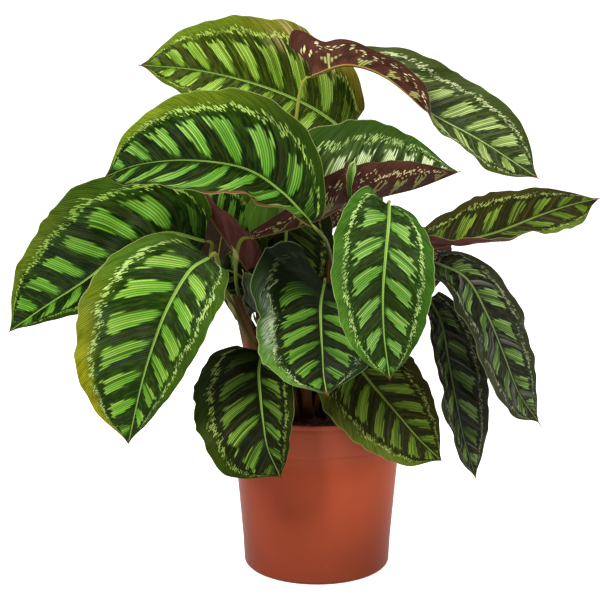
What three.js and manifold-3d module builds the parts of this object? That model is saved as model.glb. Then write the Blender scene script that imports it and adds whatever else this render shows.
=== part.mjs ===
// A potted calathea: a plain plastic nursery pot filled with soil, a rhizome clump at the middle of
// the soil, and its leaves, each a blade on its own stalk. Millimetres, +Z up. The origin is the
// centre of the pot's base on the ground; -Y is the front, +X the right as seen from the front.
import * as THREE from 'three';
import { mergeVertices } from 'three/addons/utils/BufferGeometryUtils.js';
import Module from 'manifold-3d';

const wasm = await Module();
wasm.setup();

// ---- Driving dimensions -------------------------------------------------------------------------
const CLEARANCE = 0.35; // gap kept between pieces that touch on the real plant

const POT_HEIGHT = 183;
const RIM_RADIUS = 95;
const BASE_RADIUS = 79.5;
const POT_WALL = 1.8;
const COLLAR_HEIGHT = 38; // the slightly thicker band below the rim
const COLLAR_STEP = 0.9;
const COLLAR_RAMP = 1.2; // height over which the collar stands out
const RIM_BEVEL = 1;
const FOOT_WIDTH = 9; // flat ring that the pot stands on
const FOOT_HEIGHT = 4;
const FOOT_SLOPE = 1.5;
const PAD_RADIUS = 24; // flat pad at the middle of the base, inside the drainage channel
const BASE_ROUNDING = 5;
const POT_FACETS = 40;
const CURVE_STEPS = 4; // facets round the edge of the base
const DRAIN_HOLES = 6;
const DRAIN_RADIUS = 5;
const DRAIN_CIRCLE = 48;
const DRAIN_FACETS = 10;

// The soil is heaped a little at its middle and sinks at the wall. Heights are measured from its top.
const SOIL_TOP = 165;
const SOIL_WALL_DROP = 3;
const SOIL_EDGE = { inset: 5, rise: -0.5 };
const SOIL_HEAP = { radius: 45, rise: 1.5 };
const SOIL_PEAK = 3;

const CLUMP_CENTRE = new THREE.Vector3(-12, 0, 165);
const CLUMP_RADII = new THREE.Vector3(34, 30, 14);
const CLUMP_SIDES = 20;
const CLUMP_RINGS = 12;

const BLADE_THICKNESS = 1.2;
const BLADE_STEPS = 12; // facets along a blade
const BLADE_HALF_STEPS = 3; // facets from the midrib to a margin
const END_CROWDING = 0.1; // how much closer the facets lie near the base and the tip
const WIDEST_AT = 0.4; // the share of a blade's length at which it is widest
const BASE_ROUNDNESS = 0.5; // 0.5 is an ellipse's end
const TIP_PINCH = 0.3; // how much narrower than its outline the blade is drawn out at its tip
const TIP_LENGTH = 0.07;
const BASE_STUB = 2.4; // half width of a blade where its stalk meets it
const TIP_STUB = 0.7;
const LOBES = [9, 9]; // how far a blade's left and right base lobes reach back past its stalk
const LOBE_LENGTH = 0.13; // the share of the blade's length that the lobes take
const LOBE_START = 0.03;
const RUFFLE_POWER = 2.5; // how fast the ruffles grow towards the margin

const STALK_STEPS = 9;
const STALK_SIDES = 6;
const STALK_RADIUS = 1.9; // below the blade
const SHEATH_RADIUS = 3.4; // at the clump
const SHEATH_SHARE = 0.625; // the share of a stalk over which its sheath narrows
const STALK_FOOT = 169; // height, just inside the clump's top

// ---- Finishes -----------------------------------------------------------------------------------
const finish = (color, roughness) => new THREE.MeshStandardMaterial({ color, roughness, metalness: 0 });
const terracottaPlastic = finish(0x9c4630, 0.42);
const pottingSoil = finish(0x2b1a12, 0.95);
const rhizome = finish(0x4a2a1c, 0.85);
const leafGreen = finish(0x3f7d22, 0.4);
const stalkGreen = finish(0x8a8f35, 0.5);

const plant = new THREE.Group();
function add(name, geometry, material) {
  const mesh = new THREE.Mesh(geometry, material);
  mesh.name = name;
  plant.add(mesh);
}

// ---- Joining and cutting ------------------------------------------------------------------------
function toSolid(geometry) {
  const bare = geometry.clone();
  bare.deleteAttribute('normal');
  bare.deleteAttribute('uv');
  const merged = mergeVertices(bare, 1e-4);
  return new wasm.Manifold(new wasm.Mesh({
    numProp: 3,
    vertProperties: new Float32Array(merged.attributes.position.array),
    triVerts: new Uint32Array(merged.index.array),
  }));
}

function toGeometry(solid) {
  const mesh = solid.getMesh();
  const geometry = new THREE.BufferGeometry();
  geometry.setAttribute('position', new THREE.BufferAttribute(new Float32Array(mesh.vertProperties), 3));
  geometry.setIndex(new THREE.BufferAttribute(new Uint32Array(mesh.triVerts), 1));
  return geometry;
}

// A lathe or cylinder turns about Y; this stands it on Z.
function upright(geometry) {
  geometry.rotateX(Math.PI / 2);
  return geometry;
}

// ---- Pot, soil and clump ------------------------------------------------------------------------
const draft = (RIM_RADIUS - BASE_RADIUS) / POT_HEIGHT; // how far the wall leans out for each mm up
const wallRadius = (z) => BASE_RADIUS + draft * z;
const innerRadius = (z) => wallRadius(z) - COLLAR_STEP - POT_WALL;
const floorTop = FOOT_HEIGHT + POT_WALL;

function potGeometry() {
  const collarBottom = POT_HEIGHT - COLLAR_HEIGHT;
  const footOuter = BASE_RADIUS - BASE_ROUNDING;
  const footInner = footOuter - FOOT_WIDTH;
  const profile = new THREE.Path();
  profile.moveTo(0, 0);
  profile.lineTo(PAD_RADIUS, 0);
  profile.lineTo(PAD_RADIUS + FOOT_SLOPE, FOOT_HEIGHT);
  profile.lineTo(footInner - FOOT_SLOPE, FOOT_HEIGHT);
  profile.lineTo(footInner, 0);
  profile.lineTo(footOuter, 0);
  profile.quadraticCurveTo(BASE_RADIUS, 0, wallRadius(BASE_ROUNDING), BASE_ROUNDING);
  profile.lineTo(wallRadius(collarBottom) - COLLAR_STEP, collarBottom);
  profile.lineTo(wallRadius(collarBottom + COLLAR_RAMP), collarBottom + COLLAR_RAMP);
  profile.lineTo(RIM_RADIUS, POT_HEIGHT - RIM_BEVEL);
  profile.lineTo(RIM_RADIUS - RIM_BEVEL, POT_HEIGHT);
  profile.lineTo(innerRadius(POT_HEIGHT), POT_HEIGHT);
  profile.lineTo(innerRadius(floorTop), floorTop);
  profile.lineTo(0, floorTop);
  let solid = toSolid(upright(new THREE.LatheGeometry(profile.getPoints(CURVE_STEPS), POT_FACETS)));
  const depth = 4 * POT_WALL; // well past both faces of the floor
  for (let i = 0; i < DRAIN_HOLES; i += 1) {
    const angle = (i / DRAIN_HOLES) * 2 * Math.PI;
    const drill = upright(new THREE.CylinderGeometry(DRAIN_RADIUS, DRAIN_RADIUS, depth, DRAIN_FACETS));
    drill.translate(DRAIN_CIRCLE * Math.cos(angle), DRAIN_CIRCLE * Math.sin(angle), FOOT_HEIGHT);
    solid = solid.subtract(toSolid(drill));
  }
  return toGeometry(solid);
}

// room is how far the ball is grown on every side, for cutting its place out of a neighbour.
function clumpGeometry(room = 0) {
  const ball = new THREE.SphereGeometry(1, CLUMP_SIDES, CLUMP_RINGS);
  ball.rotateX(Math.PI / 2);
  ball.scale(CLUMP_RADII.x + room, CLUMP_RADII.y + room, CLUMP_RADII.z + room);
  ball.translate(...CLUMP_CENTRE.toArray());
  return ball;
}

const clumpRoom = toSolid(clumpGeometry(2 * CLEARANCE));

function soilGeometry() {
  const edge = (z) => innerRadius(z) - 2 * CLEARANCE;
  const bottom = floorTop + CLEARANCE;
  const wallTop = SOIL_TOP - SOIL_WALL_DROP;
  const profile = [
    new THREE.Vector2(0, bottom),
    new THREE.Vector2(edge(bottom), bottom),
    new THREE.Vector2(edge(wallTop), wallTop),
    new THREE.Vector2(edge(SOIL_TOP) - SOIL_EDGE.inset, SOIL_TOP + SOIL_EDGE.rise),
    new THREE.Vector2(SOIL_HEAP.radius, SOIL_TOP + SOIL_HEAP.rise),
    new THREE.Vector2(0, SOIL_TOP + SOIL_PEAK),
  ];
  const heap = upright(new THREE.LatheGeometry(profile, POT_FACETS));
  return toGeometry(toSolid(heap).subtract(clumpRoom));
}

add('pot', potGeometry(), terracottaPlastic);
add('soil', soilGeometry(), pottingSoil);
add('rhizome_clump', clumpGeometry(), rhizome);

// ---- Shape of a leaf ----------------------------------------------------------------------------
const vec = (p) => new THREE.Vector3(p[0], p[1], p[2]);
const radians = THREE.MathUtils.degToRad;

// A value read at a share t of the blade's length. Three numbers are its values at the base, middle
// and tip, and the base's value fades out fast, because a blade changes most where it leaves its
// stalk. Pairs are shares of the length and the values there, joined smoothly.
function along(values, t) {
  if (!Array.isArray(values[0])) {
    const [base, middle, tip] = values;
    return middle + (base - middle) * (1 - t) ** 5 + (tip - middle) * t ** 3;
  }
  const after = Math.max(1, values.findIndex(([share]) => share >= Math.min(t, 1)));
  const [before, next] = values.slice(after - 1, after + 1);
  return before[1] + (next[1] - before[1]) * THREE.MathUtils.smoothstep(t, before[0], next[0]);
}

// The outline of a blade, from 0 to 1: round at the base, widest at WIDEST_AT, drawn out at the tip.
function outline(t) {
  const tipRoundness = (BASE_ROUNDNESS * (1 - WIDEST_AT)) / WIDEST_AT;
  const body = (t / WIDEST_AT) ** BASE_ROUNDNESS * ((1 - t) / (1 - WIDEST_AT)) ** tipRoundness;
  return body * (1 - TIP_PINCH * Math.exp(-(((1 - t) / TIP_LENGTH) ** 2)));
}

// A blade is a sheet swept along its midrib. u runs from base to tip, v from the left margin (-1)
// to the right one (1), seen from above with the tip ahead.
function bladePoint(leaf, u, v, lift) {
  const t = u - END_CROWDING * Math.sin(2 * Math.PI * u);
  const centre = leaf.midrib.getPointAt(t);
  const ahead = leaf.midrib.getTangentAt(t);
  const up = leaf.faces[0].clone().lerp(leaf.faces[1], t);
  up.addScaledVector(ahead, -up.dot(ahead)).normalize();
  const right = new THREE.Vector3().crossVectors(ahead, up);

  const half = v < 0 ? leaf.left : leaf.right;
  const side = Math.sign(v) || 1;
  const reach = Math.abs(v);
  const width = THREE.MathUtils.lerp(BASE_STUB, TIP_STUB, t) + along(half.width, t) * outline(t);
  const fold = radians(along(half.fold, t));
  const curl = radians(along(half.curl, t)) || 1e-6; // never 0, because the arc below divides by it
  const bend = fold + curl * reach;
  const out = (width * (Math.sin(bend) - Math.sin(fold))) / curl;
  const rise = (width * (Math.cos(fold) - Math.cos(bend))) / curl;
  const [waves, depth, phase] = half.ruffle;
  const wave = Math.sin(2 * Math.PI * (waves * t + phase));
  const ruffle = depth * reach ** RUFFLE_POWER * wave * Math.sqrt(outline(t));
  const atBase = Math.exp(-((t / LOBE_LENGTH) ** 2)) * Math.min(1, t / LOBE_START);
  const lobe = leaf.lobes[v < 0 ? 0 : 1] * reach ** 2 * atBase;

  // The sheet's own normal at this point, for its thickness and its ruffle.
  const normal = up.clone().multiplyScalar(Math.cos(bend)).addScaledVector(right, -side * Math.sin(bend));
  return centre
    .addScaledVector(right, side * out)
    .addScaledVector(up, rise)
    .addScaledVector(ahead, -lobe)
    .addScaledVector(normal, ruffle + lift);
}

function bladeGeometry(leaf) {
  const sheet = new THREE.BoxGeometry(1, 2, 1, leaf.steps, 2 * BLADE_HALF_STEPS, 1);
  const position = sheet.attributes.position;
  for (let i = 0; i < position.count; i += 1) {
    const u = position.getX(i) + 0.5;
    const point = bladePoint(leaf, u, -position.getY(i), position.getZ(i) * BLADE_THICKNESS);
    position.setXYZ(i, point.x, point.y, point.z);
  }
  return sheet;
}

// A stalk rises from its place on the clump, by way of the points given, and bends over into the
// midrib of its blade.
function stalkGeometry(leaf) {
  const ahead = leaf.midrib.getTangentAt(0);
  const end = leaf.midrib.getPointAt(0).addScaledVector(ahead, -CLEARANCE);
  const start = vec([...leaf.root, STALK_FOOT]);
  const neck = end.clone().addScaledVector(ahead, -leaf.neck);
  const curve = new THREE.CatmullRomCurve3([start, ...leaf.via.map(vec), neck, end], false, 'centripetal');
  const frames = curve.computeFrenetFrames(STALK_STEPS, false);
  const tube = new THREE.CylinderGeometry(1, 1, 1, STALK_SIDES, STALK_STEPS);
  const position = tube.attributes.position;
  for (let i = 0; i < position.count; i += 1) {
    const t = position.getY(i) + 0.5;
    const ring = Math.round(t * STALK_STEPS);
    const narrowed = Math.min(1, t / SHEATH_SHARE);
    const radius = leaf.girth * THREE.MathUtils.lerp(SHEATH_RADIUS, STALK_RADIUS, narrowed);
    const point = curve.getPointAt(t)
      .addScaledVector(frames.normals[ring], radius * position.getX(i))
      .addScaledVector(frames.binormals[ring], -radius * position.getZ(i));
    position.setXYZ(i, point.x, point.y, point.z);
  }
  return toGeometry(toSolid(tube).subtract(clumpRoom));
}

// ---- The leaves ---------------------------------------------------------------------------------
// midrib: points from base to tip; faces: where the upper side looks, at the base and at the tip.
// left and right: each half's width, its fold up from flat and its further curl in degrees, each at
// base, middle and tip, then its ruffle as waves, depth and phase. root and via: the stalk's route.
const NONE = [0, 0, 0];
const half = (width, fold = NONE, curl = NONE, ruffle = NONE) => ({ width, fold, curl, ruffle });

const leaves = {
  high_left: {
    midrib: [[35, 55, 468], [-8, 40, 500], [-61, 20, 525], [-123, 0, 543], [-184, -10, 550]],
    faces: [[0.1, -0.75, 0.65], [0, -0.75, 0.65]],
    left: half([66, 66, 56], [0, 0, 10]),
    right: half([80, 78, 74], [15, 15, 10]),
    root: [-6, 20], via: [[28, 24, 270], [70, 40, 400]], neck: 22,
  },
  broad_left: {
    midrib: [[-8, -120, 404], [-37, -130, 437], [-73, -140, 462], [-126, -150, 472], [-176, -145, 467],
      [-211, -135, 453]],
    faces: [[0, -0.85, 0.5], [0, -0.75, 0.65]],
    left: half([[0, 14], [0.15, 24], [0.35, 46], [0.6, 60], [1, 72]], [55, 27, 30], [0, 10, 0]),
    right: half([30, 76, 80], [15, 15, 10], [0, 10, 0]),
    root: [2, -6], via: [[14, -8, 304], [15, -20, 334], [10, -60, 370]], neck: 12,
  },
  far_left: {
    midrib: [[-118, -50, 371], [-158, -62, 382], [-199, -75, 367], [-240, -80, 336], [-283, -75, 307],
      [-322, -65, 278]],
    faces: [[0, -0.85, 0.5], [0, -0.85, 0.5]],
    left: half([40, 38, 14]),
    right: half([74, 80, 92], [5, 5, 5], [0, 10, 0]),
    root: [-40, 2], via: [[-65, -24, 253], [-97, -37, 305], [-112, -45, 352]], neck: 8,
  },
  low_left: {
    midrib: [[-111, -105, 365], [-129, -130, 357], [-148, -155, 329], [-162, -170, 296], [-176, -175, 251],
      [-191, -165, 187]],
    faces: [[-0.1, -0.8, 0.6], [0, -1, -0.1]],
    left: half([58, 46, 26], [0, 5, 0]),
    right: half([74, 80, 90], [0, 5, 0]),
    root: [-36, -10], via: [[-46, -24, 219], [-76, -45, 274], [-99, -76, 332]], neck: 10, girth: 1.4,
  },
  pot_left: {
    midrib: [[-58, -60, 256], [-61, -90, 241], [-59, -116, 223], [-56, -138, 203], [-51, -150, 177],
      [-38, -154, 148]],
    faces: [[0, -0.5, 0.85], [0, -1, 0.1]],
    left: half([40, 34, 42], [10, 20, 20]),
    right: half([64, 64, 110], [0, 5, 0]),
    root: [-24, -22], via: [[-44, -40, 215]], neck: 6,
  },
  centre: {
    midrib: [[7, -30, 321], [3, -75, 309], [3, -115, 292], [4, -145, 277], [5, -170, 260], [8, -188, 245]],
    faces: [[0, -0.3, 1], [0, -0.7, 0.7]],
    left: half([60, 55, 90], [0, 5, 0]),
    right: half([[0, 96], [0.16, 92], [0.4, 62], [1, 98]], [[0, 50], [0.16, 44], [0.38, 5], [1, 0]]),
    root: [-6, 4], via: [[-2, 0, 240]], neck: 10, lobes: [9, 28],
  },
  centre_right: {
    midrib: [[72, -95, 417], [70, -128, 404], [66, -156, 376], [63, -176, 343], [64, -188, 305],
      [70, -190, 261]],
    faces: [[0, -0.5, 0.85], [0, -1, 0.1]],
    left: half([18, 49, 62], [0, 5, 0]),
    right: half([60, 50, 56], [30, 5, 0]),
    root: [11, -8], via: [[38, -32, 290], [64, -62, 388]], neck: 8, lobes: [2, 24],
  },
  pot_right: {
    midrib: [[22, -50, 259], [38, -75, 247], [59, -98, 226], [82, -113, 202], [104, -122, 178],
      [127, -125, 156]],
    faces: [[0, -0.5, 0.85], [0.1, -0.9, 0.3]],
    left: half([50, 50, 44], [0, 5, 0]),
    right: half([54, 58, 60], [0, 5, 0]),
    root: [7, -18], via: [[14, -30, 222]], neck: 6,
  },
  high_right: {
    midrib: [[-6, -10, 538], [31, -5, 549], [71, 0, 536], [118, 0, 499], [171, -10, 471], [230, -25, 434]],
    faces: [[0, 0, 1], [0.3, -0.9, 0.5]],
    left: half([0, 60, 80], [20, 15, 10], [0, 10, 0]),
    right: half(
      [[0, 100], [0.045, 100], [0.12, 34], [0.22, 22], [0.45, 20], [0.6, 32], [0.8, 46], [1, 48]],
      [[0, 115], [0.1, 100], [0.42, 95], [0.56, 0], [0.75, -15], [1, -15]],
      [[0, -40], [0.12, 0], [0.42, 0], [0.6, 60], [1, 20]],
      [3, 3, 0],
    ),
    root: [-10, 10], via: [[-18, 22, 330], [-24, 20, 395], [-25, -8, 445], [-23, -18, 490]], neck: 8,
    lobes: [9, 20],
  },
  folded: {
    midrib: [[-69, -70, 379], [-31, -62, 386], [2, -52, 395], [28, -47, 407], [70, -45, 418],
      [104, -47, 427], [145, -50, 444]],
    faces: [[-0.3, -0.5, 0.8], [0, -0.3, 0.95]],
    left: half([58, 84, 120], [32, 60, 40]),
    right: half([24, 52, 70], [30, 55, 60], [60, 60, 30]),
    root: [-26, -2], via: [[-57, -20, 251], [-80, -48, 305], [-85, -72, 345]], neck: 10,
  },
  mid_right: {
    midrib: [[108, -66, 365], [141, -74, 374], [182, -76, 385], [228, -70, 402], [260, -65, 412],
      [289, -60, 418]],
    faces: [[0, -0.6, 0.8], [0, -0.6, 0.8]],
    left: half([34, 46, 24], [20, 15, 10]),
    right: half([50, 28, 56], [95, -5, -15], [0, 95, -80]),
    root: [16, 0], via: [[48, -18, 272]], neck: 14,
  },
  outer_right: {
    midrib: [[120, -75, 354], [152, -85, 339], [174, -92, 302], [192, -92, 260], [209, -86, 218],
      [232, -78, 183]],
    faces: [[0.3, -0.6, 0.8], [0.6, -0.8, 0.1]],
    left: half([32, 40, 50], [0, 5, 0]),
    right: half([38, 42, 46], [0, 20, 0]),
    root: [18, 10], via: [[62, -24, 285]], neck: 14,
  },
  inner_right: {
    midrib: [[117, -45, 309], [130, -56, 283], [138, -62, 241], [146, -68, 201], [155, -70, 161],
      [168, -70, 120]],
    faces: [[0.3, -0.8, 0.6], [0.3, -1, 0.1]],
    left: half([28, 40, 40], [0, 5, 0]),
    right: half([24, 25, 32], [20, 40, 30]),
    root: [18, -6], via: [[76, -24, 262], [106, -36, 316]], neck: 8,
  },
  behind_left: {
    midrib: [[-74, -25, 334], [-97, -19, 365], [-117, -9, 393], [-136, 2, 421], [-154, 12, 446]],
    faces: [[0, -1, 0.2], [0, -0.9, 0.4]],
    left: half([[0, 40], [0.12, 36], [0.32, 23], [0.55, 14], [1, 12]], [145, 145, 145], [15, 15, 15]),
    right: half([44, 50, 46], [0, 5, 0]),
    root: [-14, -8], via: [[-50, -32, 258]], neck: 16,
  },
  behind_centre: {
    midrib: [[-28, 6, 404], [-33, -5, 372], [-33, -13, 336], [-31, -18, 304], [-30, -20, 274]],
    faces: [[0, -0.8, 0.6], [0, -1, 0.1]],
    left: half([58, 58, 50], [-25, -20, -20]),
    right: half([42, 42, 42], [0, 5, 0]),
    root: [-18, 14], via: [[-30, 38, 300], [-31, 38, 385]], neck: 10, lobes: [30, 9],
  },
  back_left: {
    midrib: [[-48, 58, 380], [-70, 92, 394], [-92, 124, 378], [-108, 150, 338], [-116, 164, 288]],
    faces: [[0, 0, 1], [-0.4, 0.9, 0.3]],
    left: half([60, 54, 54], [5, 10, 5]),
    right: half([60, 54, 54], [5, 10, 5]),
    root: [-32, 14], via: [[-48, 36, 290]], neck: 16,
  },
  back_low_left: {
    midrib: [[-66, 30, 302], [-96, 54, 316], [-124, 80, 304], [-144, 102, 272], [-154, 116, 228]],
    faces: [[-0.3, -0.4, 1], [-0.6, 0.8, 0.2]],
    left: half([60, 52, 46], [5, 10, 5]),
    right: half([60, 52, 46], [5, 10, 5]),
    root: [-40, 10], via: [[-54, 18, 240]], neck: 12,
  },
  back_centre: {
    midrib: [[-6, 74, 410], [-4, 112, 428], [0, 152, 415], [4, 188, 376], [8, 210, 322]],
    faces: [[0, 0, 1], [0, 1, 0.3]],
    left: half([60, 60, 60], [5, 10, 5]),
    right: half([60, 60, 60], [5, 10, 5]),
    root: [-10, 24], via: [[-2, 54, 300]], neck: 16,
  },
  back_right: {
    midrib: [[52, 66, 338], [76, 98, 352], [98, 128, 338], [114, 156, 304], [122, 174, 256]],
    faces: [[0, 0, 1], [0.4, 0.9, 0.3]],
    left: half([56, 54, 54], [5, 10, 5]),
    right: half([56, 54, 54], [5, 10, 5]),
    root: [12, 16], via: [[40, 36, 262]], neck: 16,
  },
  back_low: {
    midrib: [[-10, 52, 270], [-14, 86, 282], [-18, 118, 266], [-20, 142, 232], [-20, 154, 186]],
    faces: [[0, 0, 1], [0, 1, 0.2]],
    left: half([48, 46, 46], [5, 10, 5]),
    right: half([48, 46, 46], [5, 10, 5]),
    root: [-24, 20], via: [[-26, 36, 226]], neck: 12,
  },
  back_low_right: {
    midrib: [[38, 48, 262], [56, 78, 270], [72, 106, 252], [82, 126, 218], [88, 136, 174]],
    faces: [[0, 0, 1], [0.3, 1, 0.2]],
    left: half([44, 42, 42], [5, 10, 5]),
    right: half([44, 42, 42], [5, 10, 5]),
    root: [4, 20], via: [[18, 38, 222]], neck: 12,
  },
  furled: {
    midrib: [[32, -78, 422], [32, -80, 436], [34, -82, 449], [37, -83, 461]],
    faces: [[0, -1, 0.2], [0, -1, 0.2]],
    left: half([13, 17, 12], NONE, [150, 165, 60]),
    right: half([13, 17, 12], NONE, [150, 165, 90]),
    root: [7, -2], via: [[25, -19, 300], [30, -32, 345], [31, -68, 390]], neck: 8, girth: 0.8, steps: 8,
  },
  young: {
    midrib: [[-67, -60, 297], [-70, -64, 313], [-72, -68, 328], [-77, -71, 343]],
    faces: [[0.3, -1, 0.3], [0.3, -1, 0.3]],
    left: half([12, 14, 12], NONE, [60, 90, 60]),
    right: half([12, 14, 12], NONE, [40, 60, 40]),
    root: [-16, -18], via: [[-40, -52, 250]], neck: 8, girth: 0.8, steps: 8,
  },
};

for (const [place, given] of Object.entries(leaves)) {
  const leaf = {
    girth: 1,
    lobes: LOBES,
    steps: BLADE_STEPS,
    ...given,
    midrib: new THREE.CatmullRomCurve3(given.midrib.map(vec), false, 'catmullrom', 0.5),
    faces: given.faces.map(vec),
  };
  add(`leaf_${place}`, bladeGeometry(leaf), leafGreen);
  add(`stalk_${place}`, stalkGeometry(leaf), stalkGreen);
}

export default plant;
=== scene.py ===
"""Looks of the potted calathea: patterned blades, stalks, soil, pot and a plain studio around them."""

import logging
import math
from dataclasses import dataclass, field
from enum import Enum
from itertools import product
from typing import Callable, Iterable, Sequence, Union

import bpy
import numpy as np
from mathutils import Matrix, Vector


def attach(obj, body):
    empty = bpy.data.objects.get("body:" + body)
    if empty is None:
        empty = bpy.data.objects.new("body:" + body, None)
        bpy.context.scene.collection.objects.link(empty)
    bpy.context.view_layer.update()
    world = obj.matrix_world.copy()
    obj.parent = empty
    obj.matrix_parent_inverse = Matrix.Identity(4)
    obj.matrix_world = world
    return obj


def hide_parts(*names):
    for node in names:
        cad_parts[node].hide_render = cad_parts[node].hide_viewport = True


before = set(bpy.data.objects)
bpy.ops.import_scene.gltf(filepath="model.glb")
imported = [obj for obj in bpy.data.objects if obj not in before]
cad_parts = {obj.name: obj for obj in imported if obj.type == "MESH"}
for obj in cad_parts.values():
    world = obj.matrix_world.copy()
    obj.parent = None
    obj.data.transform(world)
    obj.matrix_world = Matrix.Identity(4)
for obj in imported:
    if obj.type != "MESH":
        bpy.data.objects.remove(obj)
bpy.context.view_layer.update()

LOG = logging.getLogger("calathea")
MM = 0.001
Colour = str  # six hex digits
Rgba = tuple[float, float, float, float]
Triple = tuple[float, float, float]
Values = Union[Triple, Sequence[tuple[float, float]]]
Point = tuple[float, float, float]
Array = np.ndarray


def linear(code: Colour) -> Rgba:
    """The linear colour of a screen colour.

    Args:
        code: The screen colour, as six hex digits.

    Returns:
        Red, green, blue and alpha.
    """
    shares = [share / 255 for share in bytes.fromhex(code)]
    lit = [share / 12.92 if share <= 0.04045 else ((share + 0.055) / 1.055) ** 2.4 for share in shares]
    return (*lit, 1.0)


def smoothstep(low: float, high: float, value: Array) -> Array:
    """A smooth rise from 0 at low to 1 at high."""
    share = np.clip((value - low) / (high - low), 0, 1)
    return share * share * (3 - 2 * share)


def bell(away: Array, width: float | Array) -> Array:
    """A bell curve: 1 at 0, and 1 / e at the width on either side."""
    return np.exp(-((away / width) ** 2))


def wave(turns: Array) -> Array:
    """A sine wave read at whole turns and parts of them."""
    return np.sin(2 * np.pi * turns)


def round_angles(sides: int) -> Array:
    """Even angles once round."""
    return np.linspace(0, 2 * np.pi, sides, endpoint=False)


def turned(radii: Array, heights: Array, sides: int) -> Array:
    """The points of rings round the upright axis, rings by sides by 3."""
    turn, away = round_angles(sides), radii[:, None]
    return np.stack(np.broadcast_arrays(away * np.cos(turn), away * np.sin(turn), heights[:, None]), -1)


# ---- Shader maths ----
Feed = Union[float, str, Sequence[float], "Wire"]


def joined_by(operation: str, swapped: bool = False) -> Callable[["Wire", Feed], "Wire"]:
    """An operator method that feeds a wire and another value to a Math node.

    Args:
        operation: What the node does.
        swapped: Whether the other value goes first.

    Returns:
        The method.
    """
    def join(wire: "Wire", other: Feed) -> "Wire":
        """The node's value."""
        return wire.math(operation, other, wire) if swapped else wire.math(operation, wire, other)
    return join


class Wire:
    """A shader value or colour: a node's output socket with the operators of plain arithmetic."""

    def __init__(self, shade: "Shade", socket: bpy.types.NodeSocket) -> None:
        """Wraps a socket of the shade's node tree."""
        self.shade = shade
        self.socket = socket

    def math(self, operation: str, *values: Feed) -> "Wire":
        """The value of a Math node with an operation, fed with the values in order."""
        return self.shade.node("ShaderNodeMath", {"operation": operation}, dict(enumerate(values)))[0]

    __add__ = __radd__ = joined_by("ADD")
    __sub__, __rsub__ = joined_by("SUBTRACT"), joined_by("SUBTRACT", swapped=True)
    __mul__ = __rmul__ = joined_by("MULTIPLY")
    __truediv__, __pow__ = joined_by("DIVIDE"), joined_by("POWER")

    def __abs__(self) -> "Wire":
        """The distance from zero."""
        return self.math("ABSOLUTE", self)

    def fraction(self) -> "Wire":
        """The part after the point."""
        return self.math("FRACT", self)

    def floor(self) -> "Wire":
        """The whole number at or below it."""
        return self.math("FLOOR", self)

    def cosine(self) -> "Wire":
        """Its cosine, in radians."""
        return self.math("COSINE", self)

    def off_middle(self) -> "Wire":
        """How far it is from the middle between two whole numbers, up to 1 at either of them."""
        return abs(self.fraction() - 0.5) * 2

    def rise(self, low: Feed, high: Feed) -> "Wire":
        """A smooth rise from 0, where the value is low, to 1, where it is high."""
        inputs = {"Value": self, "From Min": low, "From Max": high}
        return self.shade.node("ShaderNodeMapRange", {"interpolation_type": "SMOOTHSTEP"}, inputs)[0]

    def fall(self, low: Feed, high: Feed) -> "Wire":
        """A smooth fall from 1, where the value is low, to 0, where it is high."""
        return 1 - self.rise(low, high)

    def near(self, centre: Feed, width: Feed) -> "Wire":
        """1 where the value is at the centre, falling smoothly to 0 at the width on either side."""
        return abs(self - centre).fall(0.0, width)


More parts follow.
